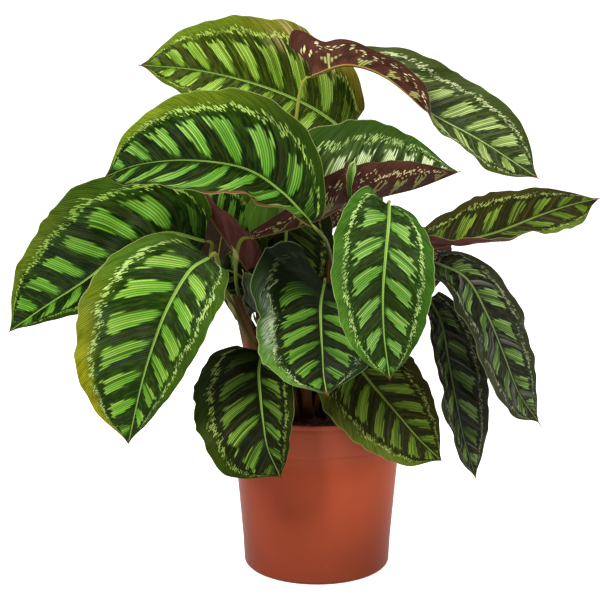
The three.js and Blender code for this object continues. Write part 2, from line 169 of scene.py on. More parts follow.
class Shade:
    """One material's node tree, built around a Principled shader."""

    def __init__(self, name: str) -> None:
        """Starts an empty material.

        Args:
            name: Its name.
        """
        self.material = bpy.data.materials.new(name)
        self.material.use_nodes = True
        self.tree = self.material.node_tree
        self.tree.nodes.clear()

    def node(self, kind: str, settings: dict, inputs: dict) -> list[Wire]:
        """Adds a node.

        Args:
            kind: The node's type.
            settings: What is set on the node first.
            inputs: A value or a wire for each socket, by its name or its place.

        Returns:
            The node's outputs, as wires.
        """
        made = self.tree.nodes.new(kind)
        for key, value in settings.items():
            setattr(made, key, value)
        for key, value in inputs.items():
            socket = made.inputs[key]
            if isinstance(value, Wire):
                self.tree.links.new(value.socket, socket)
            else:
                socket.default_value = linear(value) if isinstance(value, str) else value
        return [Wire(self, socket) for socket in made.outputs]

    def mix(self, share: Feed, first: Feed, second: Feed, blend: str = "MIX") -> Wire:
        """A colour between two, or two blended as the Mix node's blend type says."""
        settings = {"data_type": "RGBA", "blend_type": blend}
        return self.node("ShaderNodeMix", settings, {0: share, 6: first, 7: second})[2]

    def split(self, vector: Wire) -> list[Wire]:
        """The three numbers of a vector."""
        return self.node("ShaderNodeSeparateXYZ", {}, {0: vector})

    def attribute(self, name: str) -> list[Wire]:
        """The three numbers that the mesh holds under a name."""
        return self.split(self.node("ShaderNodeAttribute", {"attribute_name": name}, {})[1])

    def place(self) -> Wire:
        """The point in the object's own metres."""
        return self.node("ShaderNodeTexCoord", {}, {})[3]

    def noise(self, place: Wire, scale: float = 1.0, detail: float = 2.0, rough: float = 0.5) -> Wire:
        """Smooth noise from 0 to 1."""
        inputs = {"Vector": place, "Scale": scale, "Detail": detail, "Roughness": rough}
        return self.node("ShaderNodeTexNoise", {}, inputs)[0]

    def streaks(self, x: Feed, y: Feed, z: Feed, detail: float = 2.0) -> Wire:
        """Smooth noise from 0 to 1 over three numbers, each stretched as it is given."""
        return self.noise(self.node("ShaderNodeCombineXYZ", {}, {0: x, 1: y, 2: z})[0], 1.0, detail)

    def luck(self, number: Wire) -> list[Wire]:
        """Three random numbers from 0 to 1 for each whole number."""
        colour = self.node("ShaderNodeTexWhiteNoise", {"noise_dimensions": "1D"}, {"W": number})[1]
        return self.node("ShaderNodeSeparateColor", {}, {0: colour})

    def bump(self, height: Wire, depth: float) -> Wire:
        """A normal bent by a height whose 1 stands depth metres proud."""
        return self.node("ShaderNodeBump", {}, {"Strength": 1.0, "Distance": depth, "Height": height})[0]

    def finish(self, **inputs: Feed) -> bpy.types.Material:
        """Closes the tree with a Principled shader.

        Args:
            inputs: What feeds the shader's sockets, by name, with _ for a space.

        Returns:
            The material.
        """
        named = {key.replace("_", " "): value for key, value in inputs.items()}
        shader = self.node("ShaderNodeBsdfPrincipled", {}, named)[0]
        self.node("ShaderNodeOutputMaterial", {}, {"Surface": shader})
        return self.material


# ---- Finishes ----
@dataclass(frozen=True)
class FleckRow:
    """A row of flecks on threads beside each other: the threads for each fine vein, their shift, how
    far across the flecks scatter, half the longest fleck, and the share of threads that have none.
    """

    pace: float
    shift: float
    spread: float
    length: float
    missing: float


UPPER_FLECKS = FleckRow(1.7, 0.0, 0.07, 0.028, 0.12), FleckRow(2.3, 5.3, 0.15, 0.016, 0.3)
LOWER_FLECKS = FleckRow(1.0, 0.0, 0.16, 0.03, 0.35), FleckRow(1.6, 7.3, 0.34, 0.022, 0.35)


class Veins:
    """What the finishes of both sides of a blade read from its mesh, and the marks that they share.
    The mesh holds blade = (share along, share across from -1 to 1, vein number) and rib =
    (millimetres from the midrib, share along of the vein's start, 0).
    """

    def __init__(self, name: str, fine_veins: float, grain: tuple[float, float],
                 left_shown: float = 1.0) -> None:
        """Reads the mesh.

        Args:
            name: The material's name.
            fine_veins: How many fine veins go to one vein.
            grain: How fine the grain is from vein to vein and across.
            left_shown: How far across the pattern goes on the left half.
        """
        s = self.shade = Shade(name)
        self.along, self.across, self.vein = s.attribute("blade")
        self.offset, self.start_share, _ = s.attribute("rib")
        self.to_edge = abs(self.across)
        self.reach = self.to_edge * (self.across.rise(-0.01, 0.01) * (1 - left_shown) + left_shown)
        self.fine = self.vein * fine_veins
        self.line = self.fine.off_middle()
        self.luck = s.luck(self.fine.floor())
        self.wander = s.streaks(self.vein * 1.1, self.reach * 1.2, 0.0)
        self.grain = s.streaks(self.fine * grain[0], self.reach * grain[1], 3.0)
        self.from_band = ((self.fine.floor() + 0.5) / fine_veins).off_middle()

    def flecks(self, centre: Wire, row: FleckRow) -> Wire:
        """The short flecks of a row.

        Args:
            centre: The share across the blade that they lie around.
            row: The row.

        Returns:
            1 on the flecks and 0 off them.
        """
        thread = self.fine * row.pace + row.shift
        place, size, fate = self.shade.luck(thread.floor())
        away = abs(self.reach - (place - 0.5) * row.spread - centre)
        shown = (size * row.length + 0.007 - away).rise(-0.006, 0.006) * thread.off_middle().fall(0.5, 0.95)
        return shown * fate.rise(row.missing, row.missing + 0.05)

    def rib(self, width: float, low: float, high: float) -> Wire:
        """1 on the midrib, which narrows by width millimetres from base to tip, and 0 beside it."""
        return (self.offset / (self.along.fall(0.0, 1.0) * width + 0.5)).fall(low, high)

    def ridges(self, rough: float) -> Wire:
        """The height of the fine veins, with some of the grain."""
        return (self.fine * 2 * math.pi).cosine() * 0.5 + self.grain * rough


@dataclass(frozen=True)
class BladeFinish:
    """The upper side of a blade: dark green with feathered bright bands, a ring of flecks and a
    lighter margin.
    """

    name: str
    dark: Colour = "0c1903"
    # Painted sheen: the grey-brown colour of reflected light on the ridges between the bands.
    painted_sheen: Colour = "282b14"
    middle: Colour = "2a460a"
    band: Colour = "569222"
    band_light: Colour = "84b84a"
    fleck: Colour = "b2ce76"
    margin: Colour = "38560c"
    margin_tip: Colour = "627416"
    margin_left: Colour = "2a480a"
    rib: Colour = "84a648"
    rim: Colour = "969e5c"
    dry: Colour = "604228"
    # Painted shade on the base lobe, darkened as if folded out of the light.
    lobe: Colour = "0c1c04"
    turned_edge: Colour = "70422c"
    # Painted reflection: the pale colour of a highlight along the margin.
    painted_reflection: Colour = "beccb2"
    burnt: Colour = "bca476"
    lobe_painted_shading: float = 0.0
    lobe_end: float = 0.24
    left_shown: float = 1.0
    band_share: float = 1.0
    margin_share: float = 0.9
    uneven: float = 0.2
    painted_reflection_share: float = 0.0
    scorch: float = 0.0
    roughness: float = 0.34
    gloss: float = 0.03
    fine_veins: float = 13.0

    def build(self) -> bpy.types.Material:
        """Makes the material.

        Returns:
            The material.
        """
        veins = Veins(self.name, self.fine_veins, (0.8, 6.0), self.left_shown)
        s, grain, (_, fate, _) = veins.shade, veins.grain, veins.luck
        colour = self.add_bands(veins, self.ground(veins))
        # Painted reflection: a pale strip of highlight along the margin's inner side.
        if self.painted_reflection_share:
            painted_reflection_strip = veins.across.rise(0.7, 0.82) * veins.across.fall(0.86, 0.97) * veins.along.near(0.5, 0.3)
            painted_reflection_strip = painted_reflection_strip * (grain.rise(0.4, 0.6) * 0.7 + 0.3 * fate)
            colour = s.mix(painted_reflection_strip * self.painted_reflection_share, colour, self.painted_reflection)
        colour = self.add_ring(veins, colour)
        # Painted shading at the blade's base: the lobe colour darkens it by default and lightens it on the
        # folded leaf.
        if self.lobe_painted_shading:
            share = veins.along.fall(0.42 * self.lobe_end, self.lobe_end) * (grain * 0.2 + 0.8)
            colour = s.mix(share * self.lobe_painted_shading, colour, self.lobe)
        if self.scorch:
            burnt = veins.across.rise(0.5, 0.7) * veins.along.near(0.33, 0.2) * fate.rise(0.45, 0.65)
            colour = s.mix(burnt * self.scorch, colour, self.burnt)
        colour = s.mix(veins.rib(1.3, 0.75, 1.2), colour, self.rib)
        if self.left_shown < 1:
            edge = veins.across.fall(-0.94, -0.9) * veins.along.fall(0.5, 0.62)
            colour = s.mix(edge, colour, self.turned_edge)
        colour = s.mix(veins.to_edge.rise(0.985, 0.998) * 0.75, colour, self.rim)
        colour = s.mix(veins.along.rise(0.975, 0.995), colour, self.dry)
        cloud = s.noise(s.place(), 14).fall(0.3, 0.7) * 0.3
        return s.finish(
            Base_Color=s.mix(cloud, colour, "96968c", "MULTIPLY"),
            Roughness=self.roughness + grain * 0.14, Normal=s.bump(veins.ridges(0.5), 0.00026),
            Specular_IOR_Level=self.gloss,
        )

    def groove(self, veins: Veins) -> Wire:
        """How deep a point lies between two fine veins."""
        return veins.line.rise(0.25, 0.8) * (veins.luck[2] * 0.35 + 0.65)

    def ground(self, veins: Veins) -> Wire:
        """The dark ground with its brownish painted sheen, and the lighter margin.

        Args:
            veins: What is read from the mesh.

        Returns:
            The colour.
        """
        s, reach, grain, (luck, fate, _) = veins.shade, veins.reach, veins.grain, veins.luck
        base = s.mix(grain.rise(0.35, 0.7) * luck, self.dark, self.middle)
        # Painted sheen: greyish streaks of reflected light laid between the bands.
        painted_sheen_share = veins.from_band.rise(0.62, 0.9) * fate.rise(0.45, 0.7)
        painted_sheen_share = painted_sheen_share * reach.rise(0.02, 0.12) * reach.fall(0.5, 0.8)
        base = s.mix(painted_sheen_share * 0.75, base, self.painted_sheen)
        base = s.mix(reach.rise(0.45, 0.7) * fate.rise(0.3, 0.9) * 0.6, base, self.middle)
        edge = s.mix(veins.along.rise(0.2, 0.8), self.margin, self.margin_tip)
        edge = s.mix(veins.across.fall(-0.1, 0.1), edge, self.margin_left)
        edge = s.mix(self.groove(veins) * 0.42 + grain.fall(0.3, 0.6) * 0.35, edge, self.dark)
        return s.mix(reach.rise(0.66, 0.9) * (veins.wander * 0.7 + 0.6) * self.margin_share, base, edge)

    def add_bands(self, veins: Veins, colour: Wire) -> Wire:
        """Lays the bright bands over a colour. Each fine vein has its own start and end, so that a band is
        a wedge with ragged ends.

        Args:
            veins: What is read from the mesh.
            colour: The colour below.

        Returns:
            The new colour.
        """
        s, reach, start_share, (luck, fate, chance) = veins.shade, veins.reach, veins.start_share, veins.luck
        band_luck, band_fate, _ = s.luck((veins.vein + 40).floor())
        start = veins.from_band ** 3.0 * (band_luck * 0.7 + 1.7) + (luck - 0.5) * 0.05 + 0.03
        end = (fate - 0.5) * 0.12 + (veins.wander - 0.5) * 0.18 + 0.6
        in_band = (reach - start).rise(-0.01, 0.08) * (end - reach).rise(0.0, 0.05)
        in_band = in_band * (start_share.rise(-0.02, 0.2) * 0.8 + 0.2) * start_share.rise(0.0, 0.06)
        in_band = in_band * start_share.fall(0.88, 0.97)
        lit = (luck * 0.5 + veins.grain * 0.2 + reach * 0.6).rise(0.3, 0.85)
        light = s.mix(lit, self.band, self.band_light)
        light = s.mix(chance.fall(0.08, 0.14) * 0.8 + self.groove(veins) * 0.8, light, self.middle)
        return s.mix(in_band * (1 - band_fate * self.uneven) * self.band_share, colour, light)

    def add_ring(self, veins: Veins, colour: Wire) -> Wire:
        """Lays the feathered ring of thin flecks over a colour.

        Args:
            veins: What is read from the mesh.
            colour: The colour below.

        Returns:
            The new colour.
        """
        s, centre = veins.shade, (veins.wander - 0.5) * 0.14 + 0.75
        shown = veins.start_share.rise(-0.12, 0.02) * veins.along.fall(0.93, 0.99)
        for row in UPPER_FLECKS:
            patch = s.streaks(veins.vein * 2.6, veins.reach * 2, row.shift, 1.0).rise(0.3, 0.55)
            colour = s.mix(veins.flecks(centre, row) * shown * patch * 0.85, colour, self.fleck)
        return colour


@dataclass(frozen=True)
class PlainBladeFinish:
    """A blade too young for its pattern, with fine veins alone."""

    name: str
    light: Colour
    dark: Colour
    rim: Colour = "baaa78"

    def build(self) -> bpy.types.Material:
        """Makes the material.

        Returns:
            The material.
        """
        s = Shade(self.name)
        _, across, vein = s.attribute("blade")
        grain = s.streaks(vein * 9, abs(across) * 4, 3.0)
        colour = s.mix(grain.rise(0.3, 0.7), self.dark, self.light)
        colour = s.mix(abs(across).rise(0.9, 1.0) * 0.6, colour, self.rim)
        return s.finish(Base_Color=colour, Roughness=grain * 0.2 + 0.35, Normal=s.bump(grain, 0.0002),
                        Specular_IOR_Level=0.35)


@dataclass(frozen=True)
class UndersideFinish:
    """The underside of a blade: burgundy, with pale stripes by the midrib and cream flecks."""

    name: str
    ground: Colour = "542c20"
    deep: Colour = "2c180d"
    stripe: Colour = "a6ae64"
    fleck: Colour = "ded696"
    rib: Colour = "8c7034"
    pattern: float = 1.0

    def build(self) -> bpy.types.Material:
        """Makes the material.

        Returns:
            The material.
        """
        veins = Veins(self.name, 11.0, (0.5, 4.0))
        s, reach, line, grain, (luck, fate, _) = veins.shade, veins.reach, veins.line, veins.grain, veins.luck
        colour = s.mix(grain.rise(0.2, 0.8), self.deep, self.ground)
        colour = s.mix(line.rise(0.5, 1.0) * 0.25, colour, self.deep)
        start = veins.from_band * 0.7 + (luck - 0.5) * 0.1
        end = fate * 0.22 + 0.32
        in_band = (reach - start).rise(0.0, 0.05) * (end - reach).rise(0.0, 0.05) * line.fall(0.45, 0.95)
        colour = s.mix(in_band * self.pattern * 0.85, colour, self.stripe)
        shown = veins.start_share.rise(-0.1, 0.05) * veins.along.fall(0.9, 0.97) * self.pattern
        for row in LOWER_FLECKS:
            flecks = veins.flecks((veins.wander - 0.5) * 0.16 + 0.66, row)
            colour = s.mix(flecks * shown, colour, self.fleck)
        return s.finish(
            Base_Color=s.mix(veins.rib(1.1, 0.8, 1.3), colour, self.rib), Roughness=0.5 + grain * 0.15,
            Normal=s.bump(veins.ridges(0.4), 0.0002), Specular_IOR_Level=0.1,
        )


@dataclass(frozen=True)
class StalkFinish:
    """A leaf stalk: reddish brown and sheathed below, yellow-green above, with fine long streaks.
    The mesh holds stalk = (share along, turn round, millimetres along).
    """

    name: str
    foot: Colour = "361d14"
    middle: Colour = "56501c"
    top: Colour = "7c842a"
    blotch: Colour = "78462c"

    def build(self) -> bpy.types.Material:
        """Makes the material.

        Returns:
            The material.
        """
        s = Shade(self.name)
        along, turn, length = s.attribute("stalk")
        streak = s.streaks(turn * 9, length * 0.02, 0.0)
        share = along + (streak - 0.5) * 0.35
        colour = s.mix(share.rise(0.08, 0.42), self.foot, self.middle)
        colour = s.mix(share.rise(0.5, 0.98), colour, self.top)
        colour = s.mix(streak.rise(0.5, 0.75) * 0.4, colour, self.foot)
        colour = s.mix(s.noise(s.place(), 60).rise(0.55, 0.75) * 0.25, colour, self.blotch)
        ridges = s.streaks(turn * 26, length * 0.03, 4.0, 1.0)
        return s.finish(Base_Color=colour, Roughness=0.42 + streak * 0.2, Normal=s.bump(ridges, 0.0003),
                        Specular_IOR_Level=0.12)


@dataclass(frozen=True)
class PotFinish:
    """Moulded plastic of a brick brown, slightly uneven; painted shade darkens it towards the ground and
    painted light makes the top paler.
    """

    name: str
    body: Colour = "be5533"
    deep: Colour = "b04d2f"
    # The painted shade's colour near the ground.
    low: Colour = "64291a"
    # The painted light's colour over the top band.
    high: Colour = "ba5f44"
    scuffed: Colour = "be7054"

    def build(self) -> bpy.types.Material:
        """Makes the material.

        Returns:
            The material.
        """
        s = Shade(self.name)
        cloud = s.noise(s.place(), 9, 3.0, 0.55)
        height = s.split(s.place())[2]
        scuff = s.noise(s.place(), 45, 4.0, 0.7).rise(0.62, 0.8)
        colour = s.mix(cloud.rise(0.3, 0.72), self.deep, self.body)
        # Painted shade: darker towards the ground.
        colour = s.mix(height.fall(0.0, 0.13) * 0.8, colour, self.low)
        # Painted light: a paler band over the collar.
        colour = s.mix(height.rise(0.13, 0.15) * 0.6, colour, self.high)
        return s.finish(
            Base_Color=s.mix(scuff * 0.12, colour, self.scuffed), Roughness=0.4 + cloud * 0.12 + scuff * 0.1,
            Normal=s.bump(s.noise(s.place(), 900, 2.0, 0.6), 0.00005), Specular_IOR_Level=0.05,
        )


@dataclass(frozen=True)
class EarthFinish:
    """Moist potting mix, or the bits that lie in it."""

    name: str
    dark: Colour = "1e140f"
    light: Colour = "4e3626"
    scale: float = 260

    def build(self) -> bpy.types.Material:
        """Makes the material.

        Returns:
            The material.
        """
        s = Shade(self.name)
        crumb = s.noise(s.place(), self.scale, 4.0, 0.7)
        patch = s.noise(s.place(), self.scale / 8, 2.0)
        colour = s.mix((crumb * 0.6 + patch * 0.4).rise(0.38, 0.66), self.dark, self.light)
        return s.finish(Base_Color=colour, Roughness=0.85 + crumb * 0.1, Normal=s.bump(crumb, 0.0012))


@dataclass(frozen=True)
class PlainFinish:
    """The studio floor: matt and pale, lit from below, with the faintest mottle."""

    name: str
    tint: Rgba = (0.82, 0.82, 0.82, 1.0)
    lightest: Rgba = (1.0, 1.0, 1.0, 1.0)
    glow: float = 0.84

    def build(self) -> bpy.types.Material:
        """Makes the material.

        Returns:
            The material.
        """
        s = Shade(self.name)
        colour = s.mix(s.noise(s.place(), 3) * 0.02, self.tint, self.lightest)
        return s.finish(Base_Color=colour, Roughness=0.9, Specular_IOR_Level=0.1,
                        Emission_Color=self.lightest, Emission_Strength=self.glow)


class Tone(Enum):
    """The blades' colourings."""

    FRESH = BladeFinish(
        "leaf_fresh", dark="0a1802", band="4e881a", band_light="78ac3a", fleck="96ba4e")
    BROAD = BladeFinish(
        "leaf_broad", band="589628", band_light="92be56", margin="284208", margin_tip="788c1a",
        margin_left="344e0c", fleck="acce64", left_shown=0.66)
    LOW = BladeFinish(
        "leaf_low", dark="122403", middle="2e4c08", band="64a22a", band_light="a6ce54", margin="4a6c14",
        margin_tip="a2a014", margin_left="3e5c0c", roughness=0.28, gloss=0.04)
    BRIGHT = BladeFinish(
        "leaf_bright", dark="142407", middle="2e4c0f", band="629c34", band_light="98be62", margin="406e1a",
        margin_tip="508022", margin_left="386216", rim="aab674", gloss=0.03)
    OLIVE = BladeFinish(
        "leaf_olive", dark="1e2c04", painted_sheen="3e4018", middle="4e6010", band="749e2c", band_light="acce5c",
        fleck="b4d25e", margin="807422", margin_tip="687e18", margin_left="526212", margin_share=1.0,
        scorch=0.9)
    # A darker copy of the blade colours: painted shade for leaves low in the clump and under others.
    DEEP = BladeFinish(
        "leaf_painted_shade", dark="0e1303", middle="1e2a07", band="48721c", band_light="86aa3e", margin="243008",
        margin_tip="32420a", margin_left="243208", fleck="90a84c", uneven=0.75)
    # Painted reflection along the left margin and painted shade on the base lobe.
    SILVERED = BladeFinish(
        "leaf_painted_shine", dark="0c1404", middle="1c2e09", band="487a1e", band_light="76a83a", margin="344e22",
        margin_tip="5c882c", margin_left="1e320a", rim="a4b07c", fleck="b0c28a", lobe_painted_shading=1.0,
        lobe_end=0.36, painted_reflection_share=0.7, roughness=0.3, gloss=0.05)
    # Its lobe colour is a painted highlight on the folded leaf's base.
    PALE = BladeFinish(
        "leaf_pale", dark="1a280a", middle="4c642a", band="b0c87e", band_light="e6f2bc", margin="3c5618",
        margin_tip="62802c", margin_left="325012", lobe="689830", lobe_painted_shading=0.8)
    # Olive greens, greyed in part by the light grey painted sheen.
    GREYED = BladeFinish(
        "leaf_painted_grey_sheen", rib="6e8248", dark="101206", painted_sheen="68685c", middle="323c1a", band="587c2c",
        band_light="9cbe68", margin="363c1e", margin_tip="3e4422", margin_left="343a1c", fleck="a6ac82",
        band_share=0.85, roughness=0.25, gloss=0.08)
    RUSSET = BladeFinish(
        "leaf_russet", dark="181a05", painted_sheen="3a3018", middle="32360e", band="54761a", band_light="8caa3a",
        margin="50581a", margin_tip="6a7c28", margin_left="3c3814", fleck="9eb054", band_share=0.8,
        rib="687c34", uneven=0.5)
    GLOSSY = BladeFinish(
        "leaf_glossy", dark="1a2607", painted_sheen="42462a", middle="42521c", band="768e42", band_light="b4c67c",
        margin="38420e", margin_tip="4c5614", margin_left="3a4612", rib="869c5c", fleck="ccd69a",
        roughness=0.3, gloss=0.06)
    NEW = PlainBladeFinish("leaf_new", "96b858", "5c8830")
    UNRIPE = PlainBladeFinish("leaf_unripe", "405422", "242e16")


# ---- Curves and meshes ----
class Spline:
    """A smooth curve through points, read at equal shares of its length."""

    SAMPLES = 60

    def __init__(self, points: Sequence[Point], centripetal: bool = False) -> None:
        """Lays the curve.

        Args:
            points: What it passes through.
            centripetal: Whether its speed follows the square root of the points' distances.
        """
        given = np.array(points, float)
        held = np.vstack([2 * given[0] - given[1], given, 2 * given[-1] - given[-2]])
        share = np.linspace(0, 1, self.SAMPLES, endpoint=False)[:, None]
        runs = [self.run(held[i:i + 4], share, centripetal) for i in range(len(given) - 1)]
        self.points = np.vstack([*runs, given[-1:]])
        steps = np.linalg.norm(np.diff(self.points, axis=0), axis=1)
        self.reached = np.concatenate([[0], np.cumsum(steps)])
        self.length = float(self.reached[-1])

    @staticmethod
    def run(four: Array, share: Array, centripetal: bool) -> Array:
        """One run of the curve.

        Args:
            four: Four points, of which it joins the middle two.
            share: The shares of the way, as a column.
            centripetal: Whether its speed follows the square root of the points' distances.

        Returns:
            The points.
        """
        p0, p1, p2, p3 = four
        if centripetal:
            d0, d1, d2 = (max(np.linalg.norm(b - a) ** 0.5, 1e-4) for a, b in ((p0, p1), (p1, p2), (p2, p3)))
            out = (p1 - p0) / d0 - (p2 - p0) / (d0 + d1) + (p2 - p1) / d1
            into = (p2 - p1) / d1 - (p3 - p1) / (d1 + d2) + (p3 - p2) / d2
            out, into = out * d1, into * d1
        else:
            out, into = (p2 - p0) / 2, (p3 - p1) / 2
        c2 = 3 * (p2 - p1) - 2 * out - into
        c3 = 2 * (p1 - p2) + out + into
        return p1 + out * share + c2 * share ** 2 + c3 * share ** 3

    def at(self, share: Array) -> Array:
        """The points at shares of the length."""
        reached = np.asarray(share, float) * self.length
        return np.stack([np.interp(reached, self.reached, self.points[:, k]) for k in range(3)], -1)

    def ahead(self, share: Array) -> Array:
        """Which way the curve goes.

        Args:
            share: Shares of its length.

        Returns:
            The unit directions there.
        """
        step = 0.004
        share = np.asarray(share, float)
        way = self.at(np.clip(share + step, 0, 1)) - self.at(np.clip(share - step, 0, 1))
        return way / np.linalg.norm(way, axis=-1, keepdims=True)


def unit(vectors: Array) -> Array:
    """The vectors at length 1."""
    return vectors / np.linalg.norm(vectors, axis=-1, keepdims=True)


def add_object(name: str, data: bpy.types.ID, place: Point = (0.0, 0.0, 0.0)) -> bpy.types.Object:
    """Puts a new object into the scene.

    Args:
        name: Its name.
        data: What it holds.
        place: Where it stands.

    Returns:
        The object.
    """
    made = bpy.data.objects.new(name, data)
    made.location = place
    bpy.context.scene.collection.objects.link(made)
    return made


class MeshMaker:
    """Collects points in millimetres and faces, and makes them one piece of the object."""

    def __init__(self, name: str, slot: str) -> None:
        """Starts an empty maker.

        Args:
            name: The piece's name.
            slot: A material slot's name, which is kept but not used.
        """
        self.name = name
        self.slot = slot
        self.points: list[Array] = []
        self.faces: list[Sequence[int]] = []
        self.parts: list[int] = []
        self.count = 0

    def add(self, points: Array, faces: Iterable[Sequence[int]], part: int = 0) -> None:
        """Adds points, and faces between them.

        Args:
            points: The points, in millimetres.
            faces: The numbers of each face's points, counted from the first of these.
            part: The faces' material part.
        """
        self.add_faces(np.asarray(faces, int) + self.count, part)
        self.points.append(np.asarray(points, float).reshape(-1, 3) * MM)
        self.count += len(self.points[-1])

    def add_faces(self, faces: Array, part: int = 0) -> None:
        """Adds faces of one material part that count from the first point of all."""
        self.faces += faces.tolist()
        self.parts += [part] * len(faces)

    def add_sheet(self, outer: Array, inner: Array, inner_part: int = 0) -> Array:
        """Adds a thin sheet, closed round its edge, to an empty maker.

        Args:
            outer: The points of one face, rows by columns by 3.
            inner: Those of the other face.
            inner_part: The other face's material part.

        Returns:
            The pairs of points along both edges.
        """
        rows, columns = outer.shape[:2]
        count = rows * columns
        numbers = np.arange(count).reshape(rows, columns)
        loop = np.concatenate([numbers[0, :-1], numbers[:-1, -1], numbers[-1, :0:-1], numbers[:0:-1, 0]])
        after = np.roll(loop, -1)
        self.add(np.vstack([outer.reshape(-1, 3), inner.reshape(-1, 3)]), grid_faces(rows, columns))
        self.add_faces(grid_faces(rows, columns, flip=True) + count, inner_part)
        self.add_faces(np.stack([loop, after, after + count, loop + count], -1))
        edge = np.stack([loop, after], -1)
        return np.vstack([edge, edge + count])

    def add_tube(self, rings: Array, middles: Sequence[Point], flip: bool = False) -> None:
        """Adds a tube of closed rings to an empty maker, with a fan of faces over each end.

        Args:
            rings: The points, rings by sides by 3.
            middles: The middle points of the first and the last ring.
            flip: Whether the faces look the other way.
        """
        rows, sides = rings.shape[:2]
        near, last = np.arange(sides), (rows - 1) * sides
        after, middle = np.roll(near, -1), np.full(sides, rows * sides)
        below = np.stack([middle, after, near], -1)
        fans = np.vstack([below, np.stack([middle + 1, near + last, after + last], -1)])
        self.add(np.vstack([rings.reshape(-1, 3), middles]), grid_faces(rows, sides, True, flip))
        self.add_faces(fans[:, ::-1] if flip else fans)

    def build(self, materials: Sequence[bpy.types.Material], replaces: Sequence[str] = (),
              vectors: dict[str, Array] | None = None, sharp: Array | None = None) -> bpy.types.Object:
        """Makes the piece, which rides on the object's one body.

        Args:
            materials: One for each part number of the faces.
            replaces: The construction nodes that this piece stands for.
            vectors: Named numbers on the points, three for each.
            sharp: Pairs of points whose edges stay crisp.

        Returns:
            The piece.
        """
        mesh = bpy.data.meshes.new(self.name)
        mesh.from_pydata(np.vstack(self.points).tolist(), [], self.faces)
        mesh.polygons.foreach_set("material_index", np.array(self.parts, np.int32))
        mesh.polygons.foreach_set("use_smooth", np.ones(len(self.faces), bool))
        for name, values in (vectors or {}).items():
            held = mesh.attributes.new(name, "FLOAT_VECTOR", "POINT")
            held.data.foreach_set("vector", np.asarray(values, np.float32).ravel())
        if sharp is not None:
            wanted = {tuple(sorted(pair)) for pair in sharp.tolist()}
            for edge in mesh.edges:
                edge.use_edge_sharp = tuple(sorted(edge.vertices)) in wanted
        for material in materials:
            mesh.materials.append(material)
        mesh.validate()
        piece = add_object(self.name, mesh)
        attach(piece, "root")
        if replaces:
            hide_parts(*replaces)
        LOG.info("%s: %d faces", self.name, len(self.faces))
        return piece


def grid_faces(rows: int, columns: int, closed: bool = False, flip: bool = False) -> Array:
    """The faces of a grid of points counted row by row.

    Args:
        rows: How many rows of points.
        columns: How many points in a row.
        closed: Whether each row's end joins its start.
        flip: Whether the faces look the other way.

    Returns:
        Four point numbers for each face.
    """
    row, column = np.meshgrid(np.arange(rows - 1), np.arange(columns - (not closed)), indexing="ij")
    after = (column + 1) % columns
    corners = ((row, column), (row, after), (row + 1, after), (row + 1, column))
    quads = np.stack([line * columns + place for line, place in corners], -1).reshape(-1, 4)
    return quads[:, ::-1] if flip else quads


# ---- Leaves ----
@dataclass(frozen=True)
class Half:
    """One half of a blade, in millimetres and degrees, each given at base, middle and tip, or in
    pairs of a share of the length and the value there. The ruffle is waves, depth and phase.
    """

    width: Values
    fold: Values = (0, 0, 0)
    curl: Values = (0, 0, 0)
    ruffle: Triple = (3, 2.1, 0)


@dataclass(frozen=True)
class Leaf:
    """One leaf: its midrib from base to tip, where its upper side looks at both ends, its halves,
    and its stalk's place on the clump and route, all in millimetres.
    """

    name: str
    midrib: Sequence[Point]
    faces: Sequence[Point]
    left: Half
    right: Half
    root: tuple[float, float]
    via: Sequence[Point]
    neck: float
    tone: Tone = Tone.FRESH
    girth: float = 1.0
    lobes: tuple[float, float] = (9.0, 9.0)
    veins: float = 8.5
    pleat: float = 0.55
    tail: float = 3.0


